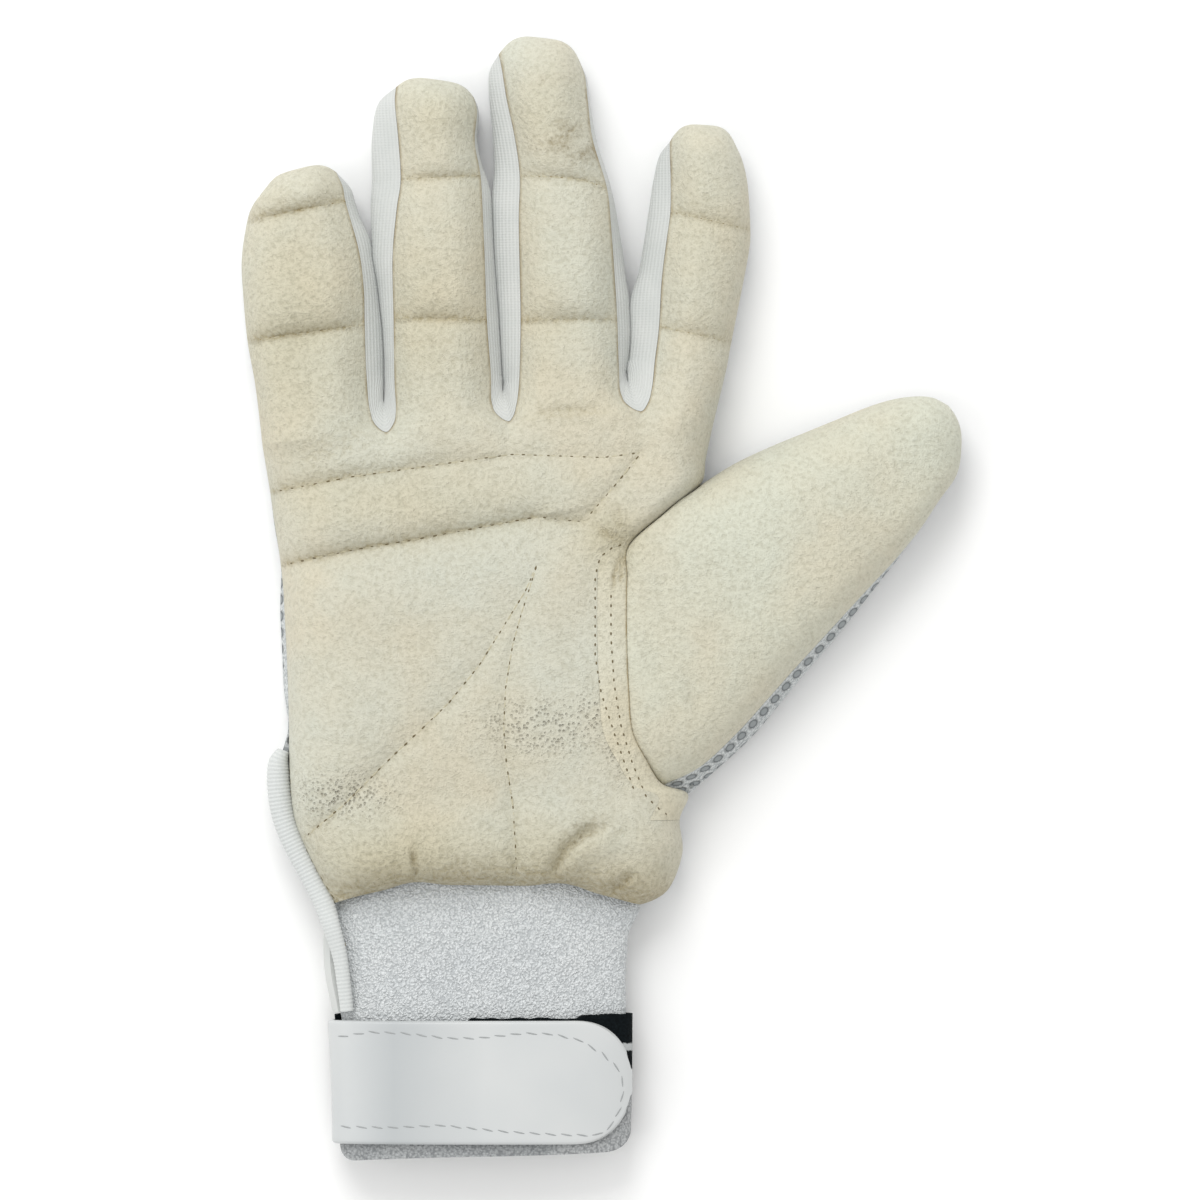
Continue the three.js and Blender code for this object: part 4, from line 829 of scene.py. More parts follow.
# Chamois: oil-tanned split leather with a raised nap. Its crumbly grain and the nap's faint
# patches of warm and cool cream give the soft, dry look. Noise sizes are in mm.
def chamoisMaterial(name, look):
    material, tree, shader, place = newMaterial(name)
    patch = addNode(tree, "noise", place, perMetre / look["patchSize"], 2, 0.5)
    mottle = addNode(tree, "noise", place, perMetre / look["mottleSize"], 3, 0.5)
    crumb = addNode(tree, "noise", place, perMetre / look["crumbSize"], 3, 0.6)
    hair = addNode(tree, "noise", place, perMetre / look["hairSize"], 2, 0.6)
    pits = addNode(tree, "pits", place, perMetre / look["poreSize"], 0.85)
    shade, tanAndShade, scuffAndShade, pores, edge = (addNode(tree, "attribute", attribute_name=mask)
                                      for mask in ("shade", "tanAndShade", "scuffAndShade", "pores", "edge"))
    warm = addNode(tree, "span", patch, 0.35, 0.65)
    colour = addNode(tree, "blend", warm, linear(look["light"]), linear(look["warm"]))
    cool = addNode(tree, "span", mottle, 0.42, 0.75, 0, 0.25)
    colour = addNode(tree, "blend", cool, colour, linear(look["cool"]))
    # A warmer, darker tone in spots: partly the leather's own tan and partly painted shade on the heel and
    # the finger sides.
    colour = addNode(tree, "blend", tanAndShade, colour, linear(look["tanAndShade"]))
    grit = addNode(tree, "add", 1, addNode(tree, "multiply", tanAndShade, look["grit"]))
    for fine, low, high, dark in ((crumb, 0.32, 0.55, 0.3), (hair, 0.3, 0.5, 0.14)):
        dots = addNode(tree, "limited", addNode(tree, "span", fine, low, high, dark, 0), grit)
        colour = addNode(tree, "blend", dots, colour, linear(look["dark"]))
    # Painted shade at the seams, folds and heel's edge, with the seams' own thin dark line, broken up by the
    # grain.
    paintedShade = addNode(tree, "multiply", shade, addNode(tree, "span", crumb, 0.25, 0.65, 0.95, 0.25))
    colour = addNode(tree, "blend", paintedShade, colour, linear(look["seam"]))
    # Brown scuffs, and painted shade at the heel's rolled edge and corner.
    scuffAndShade = addNode(tree, "limited", scuffAndShade, addNode(tree, "span", mottle, 0.38, 0.62))
    scuffAndShade = addNode(tree, "multiply", scuffAndShade, addNode(tree, "span", crumb, 0.3, 0.6, 0.9, 0.3))
    colour = addNode(tree, "blend", scuffAndShade, colour, linear(look["scuffAndShade"]))
    pit = addNode(tree, "multiply", addNode(tree, "span", pits, 0.15, 0.42, 1, 0), pores)
    colour = addNode(tree, "blend", addNode(tree, "multiply", pit, 0.5), colour, linear(look["scuffAndShade"]))
    cut = addNode(tree, "span", edge, 0.1, 0.65, look["cutEdge"], 0)
    cut = addNode(tree, "limited", cut, addNode(tree, "span", mottle, 0.35, 0.6, 0.35, 1))
    colour = addNode(tree, "blend", cut, colour, linear(look["cut"]))
    coarse = addNode(tree, "add", 0.55, addNode(tree, "multiply", shade, 0.6))
    height = addNode(tree, "multiply", crumb, addNode(tree, "multiply", coarse, grit))
    height = addNode(tree, "add", height, addNode(tree, "multiply", hair, 0.25))
    height = addNode(tree, "subtract", height, addNode(tree, "multiply", pit, 0.6))
    finishMaterial(tree, shader, colour, height, look["bump"], rough=0.94, shine=0.15, sheen=0.18,
                   sheenRough=0.6)
    return material


# The seam colour is for the painted shade at seams, folds and heel, and the seams' own line; the scuff and
# tan colours also carry painted shade at the heel and the finger sides.
chamoisLook = {"light": "cdcdbe", "warm": "cfc9b4", "cool": "c5c8ba", "dark": "98937b", "seam": "9a8857",
               "scuffAndShade": "8c7f61", "tanAndShade": "c3b997", "cut": "8e7a50", "cutEdge": 0.7, "bump": 0.95, "grit": 1.1,
               "patchSize": 26, "mottleSize": 5.5, "crumbSize": 1.05, "hairSize": 0.38, "poreSize": 0.8}
# The folded band and the thumb have lighter copies of the chamois: painted light against the shade on them.
bandPaintedLightLook = dict(chamoisLook, light="d6d4c2", warm="d5cdb4", cool="cfcebe", cut="a08444", cutEdge=0.9)
thumbPaintedLightLook = dict(chamoisLook, light="d1d2c1", warm="d1ccb7", cool="cacdbe")


# Knitted polyester tricot: fine wales run along the strip, so it shows soft parallel lines, with faint
# painted shade in the valleys between the wales.
def knitMaterial(name, look):
    material, tree, shader, place = newMaterial(name)
    waves = {}
    for mask, pitch in (("across", look["wale"]), ("along", look["course"])):
        run = addNode(tree, "attribute", attribute_name=mask)
        waves[mask] = addNode(tree, "sine", addNode(tree, "multiply", run, 2 * math.pi / pitch))
    fuzz = addNode(tree, "noise", place, perMetre / look["fuzzSize"], 2, 0.5)
    soft = addNode(tree, "noise", place, perMetre / look["softSize"], 2, 0.5)
    valleyShade = addNode(tree, "span", waves["across"], -1, -0.2, 1, 0)
    line = addNode(tree, "multiply", valleyShade, addNode(tree, "span", fuzz, 0.3, 0.6, 0.3, 1))
    even = addNode(tree, "span", soft, 0.3, 0.7)
    colour = addNode(tree, "blend", even, linear(look["light"]), linear(look["shade"]))
    # Faint painted shade in the valleys between the wales.
    colour = addNode(tree, "blend", addNode(tree, "multiply", line, 0.16), colour, linear(look["line"]))
    height = addNode(tree, "multiply", waves["across"], 0.5)
    height = addNode(tree, "add", height, addNode(tree, "multiply", waves["along"], 0.16))
    height = addNode(tree, "add", height, addNode(tree, "multiply", fuzz, 0.5))
    finishMaterial(tree, shader, colour, height, look["bump"], rough=0.8, sheen=0.25, shine=0.25)
    return material


knitLook = {"light": "cccecb", "shade": "c4c7c4", "line": "8b8e8c", "wale": 0.95, "course": 0.6,
            "fuzzSize": 0.6, "softSize": 9, "bump": 0.09}


# Warp-knitted spacer mesh: a white lattice round oval holes, whose grey is partly the layer below and
# partly painted shade in their depth, and which darken towards their edges as painted shade.
# Every second row of holes stands half a pitch on. On a strip the rows follow its length.
def meshMaterial(name, look, onStrip):
    material, tree, shader, place = newMaterial(name)
    if onStrip:
        u, v = (addNode(tree, "attribute", attribute_name=mask) for mask in ("along", "across"))
    else:
        u, v = (addNode(tree, "multiply", addNode(tree, axis, place), perMetre) for axis in ("y", "x"))
    rows = addNode(tree, "divide", v, look["rowPitch"])
    odd = addNode(tree, "floored_modulo", addNode(tree, "floor", rows), 2)
    holes = addNode(tree, "divide", u, look["holePitch"])
    holes = addNode(tree, "add", holes, addNode(tree, "multiply", odd, 0.5))
    squares = []
    for run, pitch, hole in ((holes, "holePitch", "holeLength"), (rows, "rowPitch", "holeWidth")):
        offset = addNode(tree, "subtract", addNode(tree, "fract", run), 0.5)
        offset = addNode(tree, "multiply", offset, 2 * look[pitch] / look[hole])
        squares.append(addNode(tree, "multiply", offset, offset))
    reach = addNode(tree, "sqrt", addNode(tree, "add", *squares))
    fuzz = addNode(tree, "noise", place, perMetre / look["fuzzSize"], 2, 0.5)
    hole = addNode(tree, "span", reach, 0.86, 1.0, 1, 0)
    rim = addNode(tree, "multiply", hole, addNode(tree, "span", reach, 0.5, 0.85, 0.1, 1))
    yarn = addNode(tree, "span", fuzz, 0.35, 0.65)
    colour = addNode(tree, "blend", yarn, linear(look["light"]), linear(look["yarn"]))
    colour = addNode(tree, "blend", hole, colour, linear(look["hole"]))
    # Painted shade inside each hole, darker towards its edge.
    colour = addNode(tree, "blend", addNode(tree, "multiply", rim, 0.8), colour, linear(look["deep"]))
    height = addNode(tree, "span", reach, 0.8, 1.2, 0, 1)
    height = addNode(tree, "add", height, addNode(tree, "multiply", fuzz, 0.25))
    finishMaterial(tree, shader, colour, height, look["bump"], rough=0.75, shine=0.25)
    return material


meshLook = {"light": "d6d9d8", "yarn": "a0a5a6", "hole": "9ba0a1", "deep": "63686a", "fuzzSize": 0.55,
            "rowPitch": 2.7, "holePitch": 3.7, "holeLength": 2.5, "holeWidth": 1.75, "bump": 0.5}


# Loopy cloths: boucle elastic of tiny white curls, or grey loop fabric, by their curl size.
def loopyMaterial(name, look):
    material, tree, shader, place = newMaterial(name)
    warp = addNode(tree, "noiseColour", place, perMetre / look["warpSize"], 1)
    moved = addNode(tree, "moved", warp, (look["warp"] * mm,) * 3, place)
    curls = addNode(tree, "curls", moved, perMetre / look["curl"], 1, 0.4)
    fuzz = addNode(tree, "noise", place, perMetre / (look["curl"] * 0.5), 3, 0.6)
    soft = addNode(tree, "noise", place, perMetre / look["softSize"], 2, 0.5)
    even = addNode(tree, "span", soft, 0.3, 0.7)
    colour = addNode(tree, "blend", even, linear(look["light"]), linear(look["shade"]))
    gap = addNode(tree, "multiply", addNode(tree, "span", curls, 0.3, 0.75), look["gapShade"])
    colour = addNode(tree, "blend", gap, colour, linear(look["gap"]))
    specks = addNode(tree, "span", fuzz, 0.3, 0.5, 0.3, 0)
    colour = addNode(tree, "blend", specks, colour, linear(look["gap"]))
    height = addNode(tree, "span", curls, 0, 0.8, 1, 0)
    height = addNode(tree, "add", height, addNode(tree, "multiply", fuzz, 0.5))
    finishMaterial(tree, shader, colour, height, look["bump"], rough=0.85, sheen=0.2, shine=0.2)
    return material


boucleLook = {"light": "ecefef", "shade": "e4e8e9", "gap": "8f9496", "gapShade": 0.55, "curl": 0.5,
              "bump": 0.42, "warpSize": 1.5, "warp": 0.8, "softSize": 14}
loopLook = dict(boucleLook, light="c4c6c6", shade="a9acad", gap="5e6163", gapShade=0.6, curl=0.6, bump=0.35)


# Ribbed polyester binding: the ribs are in the mesh, the yarn's fuzz is here, and shade is painted into the
# grooves between the ribs.
def ribbedMaterial(name, look):
    material, tree, shader, place = newMaterial(name)
    fuzz = addNode(tree, "noise", place, perMetre / look["fuzzSize"], 2, 0.5)
    grooveShade = addNode(tree, "multiply", addNode(tree, "attribute", attribute_name="grooveShade"), look["grooveShade"])
    even = addNode(tree, "span", fuzz, 0.3, 0.7)
    colour = addNode(tree, "blend", even, linear(look["light"]), linear(look["shade"]))
    colour = addNode(tree, "blend", grooveShade, colour, linear(look["line"]))
    finishMaterial(tree, shader, colour, fuzz, look["bump"], rough=0.75, sheen=0.2)
    return material


ribbedLook = {"light": "d6d8d6", "shade": "ccd0ce", "line": "969998", "grooveShade": 0.25, "fuzzSize": 0.4,
              "bump": 0.08}


# Polyurethane-coated strap: smooth, satin, with a faint calendered skin and soft waves. Near its
# fixed end it is painted grey as shade: fully at shadeFrom, and less to both sides.
def coatedMaterial(name, look):
    material, tree, shader, place = newMaterial(name)
    soft = addNode(tree, "noise", place, perMetre / look["softSize"], 2, 0.5)
    skin = addNode(tree, "noise", place, perMetre / look["skinSize"], 3, 0.5)
    even = addNode(tree, "span", soft, 0.3, 0.7)
    colour = addNode(tree, "blend", even, linear(look["light"]), linear(look["shade"]))
    x = addNode(tree, "x", place)
    # Painted grey shade near the fixed end, less to both sides.
    inner = addNode(tree, "span", x, look["shadeTo"] * mm, look["shadeFrom"] * mm, 0, look["paintedShade"])
    outer = addNode(tree, "span", x, look["endAt"] * mm, look["shadeFrom"] * mm, 0.3, 1)
    colour = addNode(tree, "blend", addNode(tree, "multiply", inner, outer), colour, linear(look["grey"]))
    tree.links.new(addNode(tree, "span", skin, 0.3, 0.7, 0.34, 0.46), shader.inputs["Roughness"])
    height = addNode(tree, "multiply", soft, 2)
    height = addNode(tree, "add", height, addNode(tree, "multiply", skin, 0.15))
    finishMaterial(tree, shader, colour, height, look["bump"], shine=0.45)
    return material


coatedLook = {"light": "cfd1d0", "shade": "c8cbcb", "grey": "b4b8b9", "shadeFrom": -46.0, "shadeTo": -26.0,
              "endAt": -57.0, "paintedShade": 0.9, "softSize": 22, "skinSize": 1.6, "bump": 0.12}


# Dark woven elastic with plain white stripes across its width and a pile of short yarn.
def wovenBandMaterial(name, look):
    material, tree, shader, place = newMaterial(name)
    fuzz = addNode(tree, "noise", place, perMetre / look["fuzzSize"], 3, 0.5)
    y = addNode(tree, "multiply", addNode(tree, "y", place), perMetre)
    y = addNode(tree, "add", y, addNode(tree, "multiply", fuzz, look["fray"]))
    even = addNode(tree, "span", fuzz, 0.3, 0.7)
    colour = addNode(tree, "blend", even, linear(look["dark"]), linear(look["yarn"]))
    soft = look["stripeEdge"]
    for low, high in look["stripes"]:
        above = addNode(tree, "span", y, low - soft, low + soft)
        below = addNode(tree, "span", y, high - soft, high + soft, 1, 0)
        inside = addNode(tree, "multiply", above, below)
        colour = addNode(tree, "blend", inside, colour, linear(look["stripe"]))
    finishMaterial(tree, shader, colour, fuzz, look["bump"], rough=0.9, shine=0.1)
    return material


wovenLook = {"dark": "06090b", "yarn": "11181b", "stripe": "b9bcbc", "stripeEdge": 0.15, "fray": 0.9,
             "stripes": [[-99.6, -98.0], [-109.2, -107.7]], "fuzzSize": 0.5, "bump": 0.3}


# Spun polyester sewing thread, waxed: a faint shine on a twisted, slightly fuzzy yarn.
def threadMaterial(name, code):
    material, tree, shader, place = newMaterial(name)
    twist = addNode(tree, "noise", place, perMetre / threadLook["twistSize"], 2, 0.5)
    light = linear(code)
    shade = tuple(c * threadLook["shade"] for c in light[:3]) + (1.0,)
    colour = addNode(tree, "blend", addNode(tree, "span", twist, 0.3, 0.7), light, shade)
    finishMaterial(tree, shader, colour, twist, threadLook["bump"], rough=0.6)
    return material


threadLook = {"twistSize": 0.35, "shade": 0.8, "bump": 0.05}

chamois = chamoisMaterial("chamois_suede", chamoisLook)
# Lighter copies of the chamois for the band and the thumb: painted light.
chamoisBandPaintedLight = chamoisMaterial("chamois_folded_band_painted_light", bandPaintedLightLook)
chamoisThumbPaintedLight = chamoisMaterial("chamois_suede_thumb_painted_light", thumbPaintedLightLook)
knit = knitMaterial("polyester_tricot_knit", knitLook)
backMesh = meshMaterial("spacer_mesh", meshLook, False)
thumbMesh = meshMaterial("spacer_mesh_thumb", meshLook, True)
boucle = loopyMaterial("boucle_elastic", boucleLook)
loopCloth = loopyMaterial("hook_and_loop_pile", loopLook)
ribbed = ribbedMaterial("ribbed_polyester_binding", ribbedLook)
coated = coatedMaterial("polyurethane_coated_strap", coatedLook)
wovenBand = wovenBandMaterial("woven_elastic_dark", wovenLook)
needleHole = threadMaterial("needle_hole_shadow", "6b5e3e")
goldenThread = threadMaterial("golden_sewing_thread", "93825a")
creamThread = threadMaterial("cream_sewing_thread", "c2bb9f")
greyThread = threadMaterial("grey_sewing_thread", "a6a9a9")
print("materials made")


grid = {"columns": 31, "edgeColumns": [0.01, 0.02], "bandColumns": 29, "thumbColumns": 81,
        "gussetColumns": 19, "fingerRows": 10, "palmRows": 12, "thumbRows": 12}
walls = {"suede": 2.6, "band": 3.0, "mesh": 1.8, "knit": 1.2, "rim": 1.2, "suedeDrawBack": 0.03}  # mm


# Shares from several lists, in order and each once.
def sortedShares(*parts):
    return np.unique(np.round(np.concatenate(parts), 4))


even = np.arange(grid["columns"] + 1) / grid["columns"]
fingerColumns = sortedShares(even, grid["edgeColumns"], 1 - np.array(grid["edgeColumns"]))
bandColumns = np.linspace(pouch["bandShare"], 1, grid["bandColumns"])
indexColumns = sortedShares(fingerColumns[fingerColumns < pouch["bandShare"]], bandColumns)
columnsOf = [fingerColumns, fingerColumns, fingerColumns, indexColumns]


# A finger's rows, with the same number between each two stations.
def fingerRows(finger):
    last = len(finger["stations"]["top"]) - 1
    return np.linspace(0, last, last * grid["fingerRows"] + 1)


# Soft spots in plan, as x, y, reach along x and y, and strength: brown scuffs, with painted
# shade at the heel's rolled edge and corner, open pores, and a warmer, darker tone that is
# partly the leather's tan and partly painted shade on the heel and the finger sides.
spots = {
    "scuffAndShade": [[-6.0, 104.8, 4.5, 1.8, 1.5], [-9.5, 101.0, 6.0, 2.0, 1.4], [-3.5, 99.0, 4.5, 2.6, 1.2],
              [-13.5, 115.0, 0.9, 0.9, 1.4], [-38.0, 103.0, 4.5, 2.5, 0.25], [2.5, 13.2, 3.0, 2.0, 0.2],
              [-2.0, -50.0, 7.0, 3.0, 0.35], [-33.0, -57.5, 4.0, 2.5, 0.3], [-56.0, -61.0, 8.0, 5.0, 0.4],
              [-36.0, -62.5, 16.0, 3.5, 0.35], [-8.0, -62.0, 12.0, 3.5, 0.4], [9.0, -65.0, 8.0, 4.5, 0.75],
              [-62.0, -50.0, 5.0, 9.0, 0.25]],
    "pores": [[-57.0, -43.5, 11.0, 5.0, 0.9], [-12.0, -28.0, 15.0, 6.0, 0.75], [-1.0, -25.0, 5.0, 6.0, 0.8],
              [3.5, -31.0, 3.0, 8.0, 0.8]],
    "tanAndShade": [[-45.0, -58.0, 20.0, 9.0, 0.55], [-15.0, -58.0, 22.0, 9.0, 0.4], [8.0, -62.0, 12.0, 7.0, 0.35],
            [-69.0, 60.0, 14.0, 26.0, 0.4], [-40.0, 62.0, 12.0, 22.0, 0.3], [-12.0, 66.0, 10.0, 20.0, 0.15],
            [-45.0, 22.0, 40.0, 8.0, 0.3], [-38.0, 108.0, 10.0, 8.0, 0.25], [-12.0, 108.0, 10.0, 8.0, 0.2],
            [2.0, 14.0, 7.0, 7.0, 0.5], [22.0, 80.0, 9.0, 20.0, 0.2]],
}


# Each spot is strength * exp(-((x-cx)/rx)^2 - ((y-cy)/ry)^2), and the strongest counts.
def spotMask(name, x, y):
    mask = np.zeros(x.shape)
    for cx, cy, rx, ry, strength in spots[name]:
        mask = np.maximum(mask, strength * np.exp(-((x - cx) / rx)**2 - ((y - cy) / ry)**2))
    return mask


# Painted shade towards the heel's edge, where it rolls down away from the light: shade * exp(-(d / reach)^2),
# d from the bowed edge.
def heelShade(x, y):
    k = np.clip((x - palmFront["leftX"][-1]) / (palmFront["rightX"][-1] - palmFront["leftX"][-1]), 0, 1)
    edge = heel["bottomY"] + palmFront["bow"][-1] * (1 - np.abs(2 * k - 1)**pouch["bowPower"])
    return heel["shade"] * np.exp(-(np.maximum(y - edge, 0) / heel["shadeReach"])**2)


# Masks of a suede piece: painted shade at seams, folds and heel, with the seams' own dark line, the spots,
# the way to a cut edge.
def suedeAttributes(mesh, quiltList, foldList):
    x, y = mesh["points"][:, 0], mesh["points"][:, 1]
    _, shade = relief(x, y, quiltList, foldList)
    if quiltList:
        shade = np.maximum(shade, heelShade(x, y))
    return {"shade": shade, "edge": mesh["edge"]} | {name: spotMask(name, x, y) for name in spots}


farEdge = 9.0


# Distance from the cut edges beside the knit strips, in mm; far from them it is farEdge.
def fingerEdge(finger, t, k):
    row = sample(finger["stations"], t)
    _, _, width = rowPoint(row, k)
    left = k * width if finger["leftGusset"] else farEdge
    right = (1 - k) * width if finger["rightGusset"] else farEdge
    return np.minimum(np.minimum(left, right), farEdge)


# The same on the palm, from the points between the fingers.
def palmEdge(points):
    tips = [[f["stations"]["leftX"][0], f["stations"]["leftY"][0]] for f in fingers[1:]]
    away = [np.hypot(points[..., 0] - x, points[..., 1] - y) for x, y in tips]
    return np.minimum(np.min(away, axis=0), farEdge)


palmColumnList = np.concatenate([n + columnsOf[n][:-1] for n in range(4)] + [[4.0]])
bandAt = int(np.argmin(np.abs(palmColumnList - 3 - pouch["bandShare"])))
palmRowCount = len(palmFront["top"]) - 1
palmRowList = np.linspace(0, palmRowCount, palmRowCount * grid["palmRows"] + 1)
crotchAt = pouch["thumbCrotchRow"] * grid["palmRows"]
bandEndAt = pouch["bandEndRow"] * grid["palmRows"]
frontPalm = palmFrontAt(*positions(palmRowList, palmColumnList))
backPalm = palmBackAt(*positions(palmRowList, palmColumnList))


# One grid of a sheet; flip turns its faces round, and edge is the way to a cut edge.
def sheetPatch(points, flip, edge=farEdge):
    return {"points": points, "flip": flip, "edge": edge}


# The palm above, beside and below the folded band, and the four finger fronts.
frontPatches = []
for part in (frontPalm[:crotchAt + 1], frontPalm[crotchAt:bandEndAt + 1, :bandAt + 1], frontPalm[bandEndAt:]):
    frontPatches.append(sheetPatch(part, True, palmEdge(part)))
for finger, columns in zip(fingers, columnsOf):
    t, k = positions(fingerRows(finger), columns)
    frontPatches.append(sheetPatch(fingerFront(finger, t, k), False, fingerEdge(finger, t, k)))
frontMesh = sheetMesh(frontPatches, walls["suede"], walls["suedeDrawBack"])
frontMasks = suedeAttributes(frontMesh, quilts, folds)
frontPanel = makeObject("chamois_front_panel", frontMesh, chamois, frontMasks)
print("front panel", len(frontMesh["faces"]), "faces")

band = frontPalm[crotchAt:bandEndAt + 1, bandAt:]
pastThumb = np.clip(palmRowList[crotchAt:bandEndAt + 1] - pouch["thumbFrontRow"], 0, 1)
bandWear = {"cleanEnd": 3, "pores": 0.3}
bandWidths = np.linalg.norm(band - band[:, -1:], axis=-1) + bandWear["cleanEnd"] * pastThumb[:, None]
bandMesh = sheetMesh([sheetPatch(band, True, bandWidths)], walls["band"], walls["suedeDrawBack"])
bandMasks = suedeAttributes(bandMesh, quilts, folds)
bandMasks["pores"] = bandMasks["pores"] * bandWear["pores"]
thumbBand = makeObject("thumb_seam_band_fold", bandMesh, chamoisBandPaintedLight, bandMasks)

thumbRowCount = len(thumbStations["top"]) - 1
thumbRowList = np.linspace(0, thumbRowCount, thumbRowCount * grid["thumbRows"] + 1)
thumbColumnList = np.linspace(0, 1, grid["thumbColumns"])
t, k = positions(thumbRowList, thumbColumnList)
thumbPoints = thumbFrontAt(t, k)
thumbMeshData = sheetMesh([sheetPatch(thumbPoints, False)], walls["suede"], walls["suedeDrawBack"])
thumbMasks = suedeAttributes(thumbMeshData, [], thumbFolds)
thumbFrontPiece = makeObject("thumb_front_chamois", thumbMeshData, chamoisThumbPaintedLight, thumbMasks)


# Running length along one axis of a grid, in mm.
def runLength(points, axis):
    steps = np.linalg.norm(np.diff(points, axis=axis), axis=-1)
    pad = [(0, 0), (0, 0)]
    pad[axis] = (1, 0)
    return np.pad(np.cumsum(steps, axis=axis), pad)


# The running lengths that a cloth's pattern follows.
def runMasks(mesh):
    return {name: mesh[name] for name in ("along", "across")}


# The mesh's rows run across the side strip that shows, so height counts less in the width.
thumbUnder = thumbBackAt(t, k)
across = runLength(thumbUnder * np.array([1, 1, 0.3]), 1)
thumbBackPatch = sheetPatch(thumbUnder, True)
thumbBackPatch["across"] = across[:, -1:] - across
thumbBackPatch["along"] = runLength(thumbUnder, 0)[:, -1:]
thumbBackData = sheetMesh([thumbBackPatch], walls["mesh"])
thumbBackPiece = makeObject("thumb_back_mesh", thumbBackData, thumbMesh, runMasks(thumbBackData))

backPatches = [sheetPatch(backPalm, False)]
for finger, columns in zip(fingers, columnsOf):
    t, k = positions(fingerRows(finger), columns)
    backPatches.append(sheetPatch(fingerBack(finger, t, k), True))
backData = sheetMesh(backPatches, walls["mesh"])
backPiece = makeObject("back_of_hand_mesh", backData, backMesh)
print("thumb and back made")

gussetPieces = []
for name, left, right in (("little_ring", 0, 1), ("ring_middle", 1, 2), ("middle_index", 2, 3)):
    down = -fingerRows(fingers[left])[::-1]
    up = fingerRows(fingers[right])
    s, k = positions(np.concatenate([down[:-1], up]), np.linspace(0, 1, grid["gussetColumns"]))
    gusset = sheetPatch(gussetPoint(fingers[left], fingers[right], contacts[left], s, k), True)
    middle = grid["gussetColumns"] // 2
    gusset["along"] = runLength(gusset["points"], 0)[:, middle:middle + 1]
    gusset["across"] = runLength(gusset["points"], 1)
    data = sheetMesh([gusset], walls["knit"])
    piece = makeObject("knit_gusset_" + name, data, knit, runMasks(data))
    gussetPieces.append((piece, "gusset_" + name))
print("gussets made")

# The cuff's face has small nubs, which stand out from its long axis.
cuffShape = {"thickness": 2.0, "topY": -61.0, "mouthY": -121.0, "step": 0.5, "facets": 260, "nub": 0.13,
             "nubSize": 0.9, "axis": [-27.0, 0.0, 7.5]}
cuffRows = np.arange(cuffShape["topY"], cuffShape["mouthY"] - 0.01, -cuffShape["step"])
cuffFacets = np.arange(cuffShape["facets"]) * wristShape["facets"] / cuffShape["facets"]
y, facet = positions(cuffRows, cuffFacets)
cuffOuter = wristPoint(y, facet, 0.0)
cuffInner = wristPoint(y, facet, -cuffShape["thickness"])
away = cuffOuter * np.array([1, 0, 1]) - cuffShape["axis"]
away /= np.linalg.norm(away, axis=-1, keepdims=True)
nubs = cuffShape["nub"] * lumps(cuffOuter, cuffShape["nubSize"], 11)
cuffOuter = cuffOuter + away * nubs[..., None]
cuffPiece = makeObject("boucle_wrist_cuff", layeredMesh(cuffOuter, cuffInner, True), boucle)

gap = 0.3  # between pieces that are sewn together
foldShape = {"topY": -70.5, "lowerY": -91.4, "rows": 30, "first": 14.3, "last": 21, "facets": 40,
             "thickness": 1.6}
foldRows = np.linspace(foldShape["topY"], foldShape["lowerY"], foldShape["rows"])
foldFacets = np.linspace(foldShape["first"], foldShape["last"], foldShape["facets"])
y, facet = positions(foldRows, foldFacets)
foldOuter = wristPoint(y, facet, gap + foldShape["thickness"])
foldPiece = makeObject("vent_knit_fold_cloth", layeredMesh(foldOuter, wristPoint(y, facet, gap), False), knit)

# The dark band: its lower edge is short on the palm side and long behind. Its upper edge on
# the palm side goes by x, where the strap hides all but its ends, and frays a little.
bandForm = {"facets": 320, "rows": 16, "palmLowerY": -104.2, "backLowerY": -117.5, "backFacets": [18, 30],
            "x": [-60, -58.5, -57.5, -30, -29, -6, -3.5, 10],
            "upperY": [-91.9, -91.9, -94.6, -94.6, -92.7, -92.7, -91.9, -91.9],
            "backUpperY": -91.8, "fray": 0.22, "fraySize": 1.1, "thickness": 1.2}
ringFacets = np.arange(bandForm["facets"]) * wristShape["facets"] / bandForm["facets"]
k, facet = positions(np.linspace(0, 1, bandForm["rows"]), ringFacets)
behind = (facet > bandForm["backFacets"][0]) & (facet < bandForm["backFacets"][1])
lower = np.where(behind, bandForm["backLowerY"], bandForm["palmLowerY"])
ringX = wristPoint(lower, facet, gap)[..., 0]
palmUpper = np.interp(ringX, bandForm["x"], bandForm["upperY"])
upper = np.where(facet < wristShape["facets"] / 2, palmUpper, bandForm["backUpperY"])
fray = bandForm["fray"] * lumps(stack(ringX, 0, 0), bandForm["fraySize"], 17)
bandY = mix(upper + fray * (1 - k), lower, k)
bandOuter = wristPoint(bandY, facet, gap + bandForm["thickness"])
darkMesh = layeredMesh(bandOuter, wristPoint(bandY, facet, gap), True)
darkPiece = makeObject("dark_woven_wrist_band", darkMesh, wovenBand)

patchShape = {"upperY": -104.7, "leftLowerY": -125.0, "rightLowerY": -121.6, "corner": 4.6,
              "first": -1.0, "last": 17.0, "leftTurn": 4.0, "rightTurn": 6.0,
              "rows": 30, "columns": 120, "thickness": 1.2}


